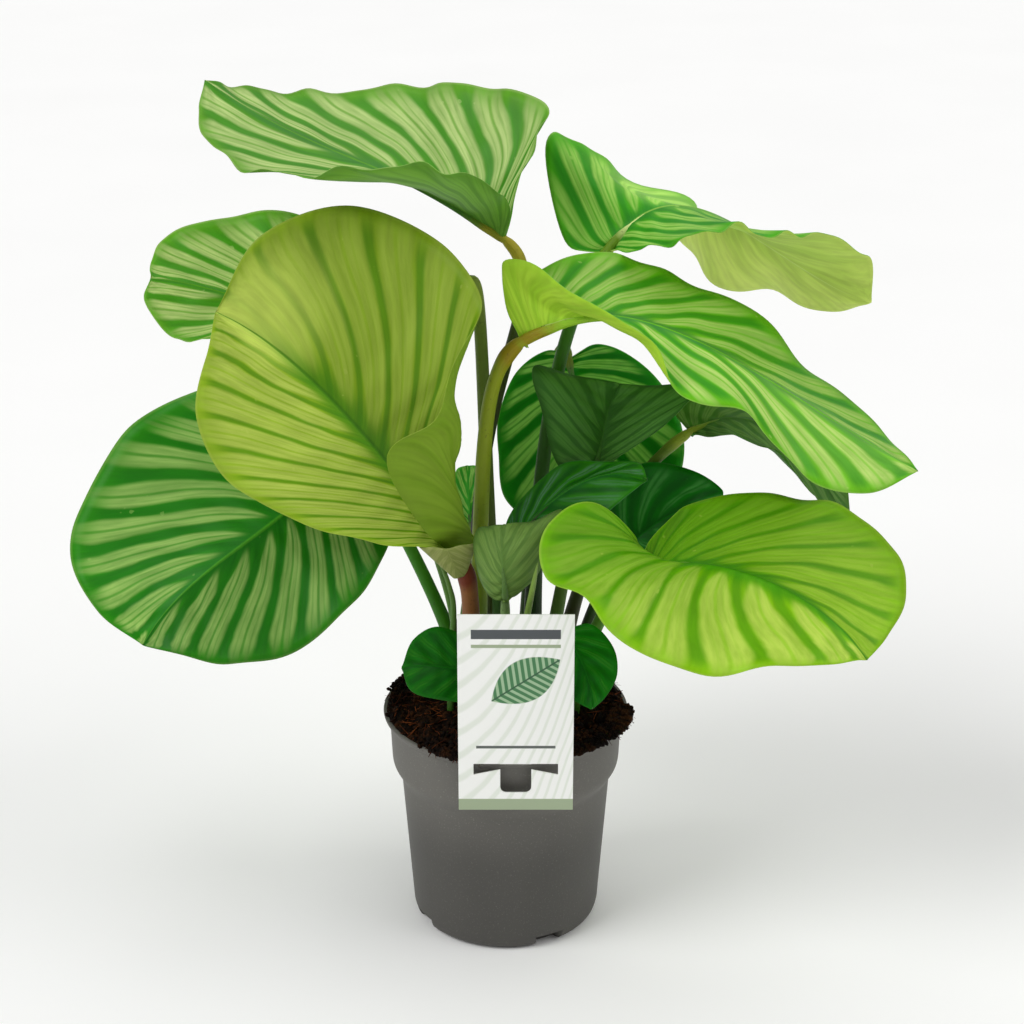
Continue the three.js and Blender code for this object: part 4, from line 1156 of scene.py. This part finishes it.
def fibres_piece(name, places, headings, lengths, droop):
    """Fibres: a four-sided hair for each place, s from -0.5 to 0.5 along its heading, bent
    sideways to an arc by a chance times s^2, and hanging down by droop * (s + 0.5)^2."""
    count = len(places)
    s = np.linspace(-0.5, 0.5, FIBRE_RINGS)[None, :, None]
    sideways = unit(np.cross(headings, dice.normal(0, 1, (count, 3))))
    bend = dice.uniform(-0.9, 0.9, (count, 1, 1))
    path = places[:, None] + headings[:, None] * s * lengths[:, None, None]
    path = path + sideways[:, None] * bend * lengths[:, None, None] * (s * s - 0.08)
    path[..., 2] -= droop[:, None] * (s[..., 0] + 0.5) ** 2
    way = unit(np.gradient(path, axis=1))
    first = unit(np.cross(way, (0.31, 0.2, 0.93)))
    second = np.cross(first, way)
    thick = dice.uniform(*FIBRE_RADIUS, (count, 1, 1)) * (1.15 - 1.7 * np.abs(s))
    ring = [first * thick, second * thick * 0.6, -first * thick, -second * thick * 0.6]
    points = np.stack([path + r for r in ring], 2).reshape(-1, 3)
    tile = grid_faces(FIBRE_RINGS, 4, 0, True, True)
    caps = np.array([[0, 1, 2, 3], [3, 2, 1, 0]]) + np.array([[0], [4 * (FIBRE_RINGS - 1)]])
    tile = np.vstack([tile, caps])
    faces = (tile[None] + 4 * FIBRE_RINGS * np.arange(count)[:, None, None]).reshape(-1, 4)
    return new_piece(name, points, faces)


small, large = CRUMB_SIZE
sizes = small + (large - small) * dice.uniform(0, 1, CRUMBS) ** 2
spill_count = sum(s[3] for s in SPILLS)
places = np.vstack([scatter(CRUMBS), spilled(spill_count)])
sizes = np.r_[sizes, dice.uniform(*SPILLED_SIZE, spill_count)]
crumbs = crumbs_piece("soil_crumbs", places, sizes)
coat(crumbs, "peat_crumbs", soil_face("0e0805", "4a2a13", 160.0), Specular_IOR_Level=0.1)
flat = dice.uniform(0, 2 * np.pi, FIBRES)
headings = np.stack([np.cos(flat), np.sin(flat), dice.normal(0, 0.22, FIBRES)], -1)
lengths = dice.uniform(*FIBRE_LENGTH, FIBRES)
places = scatter(FIBRES) + (0, 0, 1.0)
over = spilled(SPILLED_FIBRES)
outwards = unit(over * (1, 1, 0)) + dice.normal(0, 0.5, over.shape) * (1, 1, 0.4)
headings = unit(np.vstack([headings, outwards]))
lengths = np.r_[lengths, dice.uniform(*SPILLED_LENGTH, SPILLED_FIBRES)]
droop = np.r_[np.zeros(FIBRES), dice.uniform(*SPILLED_DROOP, SPILLED_FIBRES)]
fibres = fibres_piece("soil_fibres", np.vstack([places, over]), headings, lengths, droop)
coat(fibres, "coir_fibre", soil_face("3a1808", "8a4a24", 120.0), Specular_IOR_Level=0.1)
for piece in (soil, crumbs, fibres):
    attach(piece, "root")
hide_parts("soil")

# The pot: a thin-walled nursery pot of dark grey plastic, moulded in one piece, with a flared
# lip, a wide band below it, a tapering body and drain notches around the foot.
POT_OUTSIDE = [
    (0, 0), (58.5, 0), (63.4, 2), (65.5, 8), (73, 110), (78.2, 118), (79.2, 122), (80.5, 152),
    (84.4, 155.4), (85, 157.6), (84.2, 158.5),
]
POT_INSIDE = [
    (81.4, 158.5), (79.2, 153), (77.6, 121.5), (71.4, 110), (63.6, 14), (59, 12), (0, 12),
]
CORNER = 2.6
CORNER_STEPS = 5
POT_SIDES = 168
NOTCHES = 4
FIRST_NOTCH = math.radians(-62)
NOTCH_WIDTH = 17.0
NOTCH_HEIGHT = 9.0
NOTCH_RADIUS = 55.0
SHARP_STEP = 0.02
SHARP_TURN = 0.002


def eased(outline, reach, steps):
    """An outline with each inner corner b replaced by the parabola (1-t)^2 a + 2t(1-t) b + t^2 c
    between points a and c of its two sides, reach away from it or under half of the side."""
    p = np.asarray(outline, float)
    b = p[1:-1]
    ends = []
    for way in (p[:-2] - b, p[2:] - b):
        lengths = np.linalg.norm(way, axis=1, keepdims=True)
        ends.append(b + way * np.minimum(0.45, reach / lengths))
    a, c = ends
    t = np.linspace(0, 1, steps)[None, :, None]
    arcs = (1 - t) ** 2 * a[:, None] + 2 * t * (1 - t) * b[:, None] + t * t * c[:, None]
    return np.vstack([p[:1], arcs.reshape(-1, 2), p[-1:]])


# The pot is its outline turned around the middle. At each notch the points below its height are
# moved in to its radius; two rings and two columns a hair apart keep its edges sharp.
outline = eased(POT_OUTSIDE + POT_INSIDE, CORNER, CORNER_STEPS)
cut_at = np.argmax((outline[:, 1] > NOTCH_HEIGHT) & (outline[:, 0] > NOTCH_RADIUS))
side_r, side_z = outline[cut_at - 1 : cut_at + 1].T
edge_r = np.interp(NOTCH_HEIGHT, side_z, side_r)
edge_rings = [[edge_r, NOTCH_HEIGHT - SHARP_STEP], [edge_r, NOTCH_HEIGHT]]
outline = np.insert(outline, cut_at, edge_rings, axis=0)
middles = FIRST_NOTCH + 2 * np.pi * np.arange(NOTCHES) / NOTCHES
reach = NOTCH_WIDTH / 2 / NOTCH_RADIUS
hairs = (-SHARP_TURN, SHARP_TURN)
edges = np.concatenate([middles + side * reach + hair for side in (-1, 1) for hair in hairs])
evenly = np.linspace(0, 2 * np.pi, POT_SIDES, endpoint=False)
angle = np.unique(np.mod(np.r_[evenly, edges], 2 * np.pi))
away = np.abs(np.mod(angle[:, None] - middles + np.pi, 2 * np.pi) - np.pi).min(1)
body = outline[1:-1]
R, A = np.meshgrid(body[:, 0], angle, indexing="ij")
Z = np.repeat(body[:, 1][:, None], len(angle), 1)
outside = np.arange(len(body))[:, None] < cut_at + 1
notched = (away[None] < reach) & (Z < NOTCH_HEIGHT - SHARP_STEP / 2) & outside
R = np.where(notched, np.minimum(R, NOTCH_RADIUS), R)
points = np.stack([R * np.cos(A), R * np.sin(A), Z], -1).reshape(-1, 3)
sides = len(angle)
loop = np.r_[np.arange(sides), 0]
faces = np.vstack([
    grid_faces(len(body), sides, 0, False, True),
    fan_faces(len(points), loop, True),
    fan_faces(len(points) + 1, loop + (len(body) - 1) * sides),
])
points = np.vstack([points, [0, 0, 0], [0, 0, POT_INSIDE[-1][1]]])
pot = new_piece("nursery_pot", points, faces)


def pot_face(start):
    """Matt recycled plastic: dark warm grey, with clouds of dust, fine pale specks and a tone
    that rises with the height up to the band, painted light falling from above, and with flow
    marks drawn out along it."""
    specks = start.noise(900.0, 2.0).step(0.60, 0.72)
    flow = start.noise(1.0, 4.0, stretch=(26.0, 26.0, 4.0))
    dust = start.noise(22.0, 5.0)
    *_, height = start.place().parts()
    # Painted light: the body is darker low down and lighter up to the band, as if lit from above.
    painted_top_light = height.step(0.060, 0.128)
    colour = (dust * 0.6).mix(paint("575550"), paint("66645e"))
    colour = (specks * 0.5).mix(colour, paint("84827b"))
    tone = 0.50 + painted_top_light * 0.52 + flow * 0.16
    return {
        "Base Color": tone.tint(colour),
        "Roughness": 0.48 + dust * 0.14 + specks * 0.08,
        "Normal": bump(specks * 0.4 + start.noise(300.0, 3.0) * 0.6, 0.12),
    }


coat(pot, "pot_plastic", pot_face)
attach(pot, "root")
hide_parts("pot")

# The label: a printed plastic card whose tongue and two arms are cut free along a T; the tongue
# is folded back over the pot's lip and stands in the soil. Its print is a plain one: pale veins,
# one leaf, three bars and a green band. Per bar: its height, thickness, half width and colour.
CARD_LEFT, CARD_RIGHT = -31.0, 45.0
CARD_LOW, CARD_HIGH = 125.0, 268.0
CARD_FRONT = -87.6
CARD_THICK = 0.9
T_TOP = 159.5
T_ARM = 28.0
T_ARM_TIP = 8.2
T_ARM_ROOT = 4.4
T_TONGUE = 10.3
T_DROP = 21.5
T_ROUND = 4.0
TAB_BACK = -72.6
TAB_FOOT = 126.0
TAB_LIFT = 0.4
TAB_ROUND = 2.5
TAB_STEPS = 6
CARD_MIDDLE = (CARD_LEFT + CARD_RIGHT) / 2
BAND_TOP = 8.1
BARS = [(129.0, 6.5, 29.0, "4a4f52"), (120.5, 2.2, 29.0, "9fae8e"), (47.0, 1.8, 26.0, "5a615c")]


def corner_arc(x, z, start, steps=7):
    """A quarter circle of the T's rounded foot: (x, z) plus the radius times (cos a, sin a),
    from a start angle in degrees."""
    a = np.radians(np.linspace(start, start + 90, steps))
    return np.stack([x + T_ROUND * np.cos(a), z + T_ROUND * np.sin(a)], -1)


half_t = [(-T_ARM, T_TOP), (-T_ARM, T_TOP - T_ARM_TIP), (-T_TONGUE, T_TOP - T_ARM_ROOT)]
foot_z = T_TOP - T_DROP + T_ROUND
low_left = corner_arc(-T_TONGUE + T_ROUND, foot_z, 180)
low_right = corner_arc(T_TONGUE - T_ROUND, foot_z, 270)
cut = np.vstack([half_t, low_left, low_right, [(-x, z) for x, z in half_t[::-1]]])
cut[:, 0] += CARD_MIDDLE
rim = np.array([
    (CARD_LEFT, CARD_LOW), (CARD_RIGHT, CARD_LOW), (CARD_RIGHT, CARD_HIGH), (CARD_LEFT, CARD_HIGH),
])
flat_loops = [[(x, z, 0.0) for x, z in loop] for loop in (rim, cut)]
triangles = np.array(tessellate_polygon(flat_loops))
outline = np.vstack([rim, cut])
spans = np.array([(outline[a], outline[b], outline[c]) for a, b, c in triangles])
turned = np.cross(spans[:, 1] - spans[:, 0], spans[:, 2] - spans[:, 0]) < 0
triangles[turned] = triangles[turned][:, ::-1]
count = len(outline)
front = np.column_stack([outline[:, 0], np.full(count, CARD_FRONT), outline[:, 1]])
points = np.vstack([front, front + (0, CARD_THICK, 0)])
blank = np.full((len(triangles), 1), -1)
walls = []
for first, size in ((0, len(rim)), (len(rim), len(cut))):
    n = np.arange(size)
    a, b = first + n, first + (n + 1) % size
    walls.append(np.stack([b, a, a + count, b + count], -1))
back = triangles[:, ::-1] + count
faces = np.vstack([np.hstack([triangles, blank]), np.hstack([back, blank]), *walls])
label = new_piece("label_card", points, faces, flat=np.ones(len(faces), bool))

# The tongue is a flat strip carried along its side view: up the card, over the lip and down.
half_card = CARD_THICK / 2
tab_front = CARD_FRONT + half_card
side_view = [
    (tab_front, T_TOP - 0.2), (tab_front, T_TOP + TAB_LIFT), (TAB_BACK, T_TOP + TAB_LIFT),
    (TAB_BACK, TAB_FOOT),
]
bends = eased(side_view, TAB_ROUND, TAB_STEPS)
away = unit(np.gradient(bends, axis=0))
square = np.stack([-away[:, 1], away[:, 0]], -1) * half_card
strip = []
for x, offset in ((-1, 1), (1, 1), (1, -1), (-1, -1)):
    y, z = (bends + offset * square).T
    across = np.full(len(bends), CARD_MIDDLE + x * (T_TONGUE + 0.1))
    strip.append(np.column_stack([across, y, z]))
points = np.stack(strip, 1).reshape(-1, 3)
caps = np.array([[3, 2, 1, 0], [0, 1, 2, 3]]) + np.array([[0], [4 * (len(bends) - 1)]])
faces = np.vstack([grid_faces(len(bends), 4, 0, False, True), caps])
tab = new_piece("label_tongue", points, faces, flat=np.ones(len(faces), bool))


def card_face(start):
    """Satin print on a pale ground, with x and z in millimetres from the middle of the card's
    foot. The veins are sine stripes across a curved fan; the leaf is turned, its half width is
    15 * (1 - share^2), and its stripes are a sine that leans away from its midrib."""
    x, _, z = start.place().parts()
    x = (x - CARD_MIDDLE * MM) * (1 / MM)
    z = (z - CARD_LOW * MM) * (1 / MM)
    sway = start.noise(26.0, 2.0)
    fan = x * 0.12 - z * 0.06 + (x * x) * 0.0012 + sway * 0.5
    veins = fan.math("SINE", fan * 6.0).step(0.15, 0.95) * 0.55
    ground = veins.mix(paint("f9faf6"), paint("d9e2d1"))
    across, up = x * 0.83 + z * 0.56 - 59.0, z * 0.83 - x * 0.56 - 76.0
    share = across * (1 / 27.0)
    bulge = 1.0 - share * share
    inside = abs(up) - bulge * 15.0
    leaf = 1.0 - inside.step(-0.4, 0.4)
    cell = share * 6.0 + abs(up) * -0.11
    stripes = cell.math("SINE", cell * 6.28).step(-0.2, 0.5)
    midrib = 1.0 - abs(up).step(0.3, 0.8)
    green = (stripes * 0.85).mix(paint("3f7a4a"), paint("a9c8a0"))
    green = midrib.mix(green, paint("2c5a38"))
    colour = leaf.mix(ground, green)
    for middle, thick, wide, ink in BARS:
        level = 1.0 - abs(z - middle).step(thick / 2, thick / 2 + 0.2)
        bar = level * (1.0 - abs(x).step(wide, wide + 0.3))
        colour = bar.mix(colour, paint(ink))
    band = 1.0 - z.step(BAND_TOP, BAND_TOP + 0.3)
    colour = band.mix(colour, paint("9fae8e"))
    tone = 0.98 + start.noise(60.0, 2.0) * 0.03
    return {
        "Base Color": tone.tint(colour),
        "Roughness": 0.34 + sway * 0.10,
        "Normal": bump(start.noise(240.0, 2.0), 0.04),
    }


def tongue_face(start):
    """The card's bare back: off-white, a little clouded by noise."""
    return {
        "Base Color": start.noise(40.0, 3.0).mix(paint("dcdfd6"), paint("eef0ea")),
        "Roughness": 0.40 + start.noise(90.0, 2.0) * 0.1,
    }


coat(label, "label_print", card_face)
coat(tab, "label_back", tongue_face)
for piece in (label, tab):
    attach(piece, "root")
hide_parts("plant_label")

# The studio: a pale seamless floor of paper, an even pale surround, and large soft lamps. Per
# lamp: the direction that it stands in, its strength and its softness in degrees.
FLOOR_REACH = 30000.0
FLOOR_STEPS = 25
FLOOR_DROP = 0.2
SURROUND = 0.36
LAMPS = {
    "left": ((-0.85, -0.50, 0.95), 1.5, 35.0),
    "right": ((0.90, -0.25, 0.75), 0.85, 40.0),
    "back": ((0.10, 0.50, 1.30), 0.6, 50.0),
}
across = np.linspace(-1, 1, FLOOR_STEPS) * FLOOR_REACH
gx, gy = np.meshgrid(across, across, indexing="ij")
points = np.stack([gx, gy, np.full_like(gx, -FLOOR_DROP)], -1).reshape(-1, 3)
floor = new_piece("studio_floor", points, grid_faces(FLOOR_STEPS, FLOOR_STEPS, 0, True))


def paper_face(start):
    """Matt paper: nearly white, a little clouded by noise."""
    return {
        "Base Color": start.noise(3.0, 2.0).mix(paint("f7f7f6"), paint("fcfcfb")),
        "Roughness": 0.8 + start.noise(8.0, 2.0) * 0.1,
    }


coat(floor, "floor_paper", paper_face)

world = bpy.data.worlds.new("studio")
world.use_nodes = True
background = world.node_tree.nodes["Background"]
background.inputs["Color"].default_value = (1.0, 1.0, 1.0, 1.0)
background.inputs["Strength"].default_value = SURROUND
bpy.context.scene.world = world
for name, ((x, y, z), strength, softness) in LAMPS.items():
    lamp = bpy.data.lights.new(name, "SUN")
    lamp.energy = strength
    lamp.angle = math.radians(softness)
    holder = bpy.data.objects.new(name, lamp)
    tilt, turn = math.atan2(math.hypot(x, y), z), math.atan2(y, x) + math.pi / 2
    holder.rotation_euler = (tilt, 0.0, turn)
    bpy.context.scene.collection.objects.link(holder)
bpy.context.scene.view_settings.view_transform = "Standard"
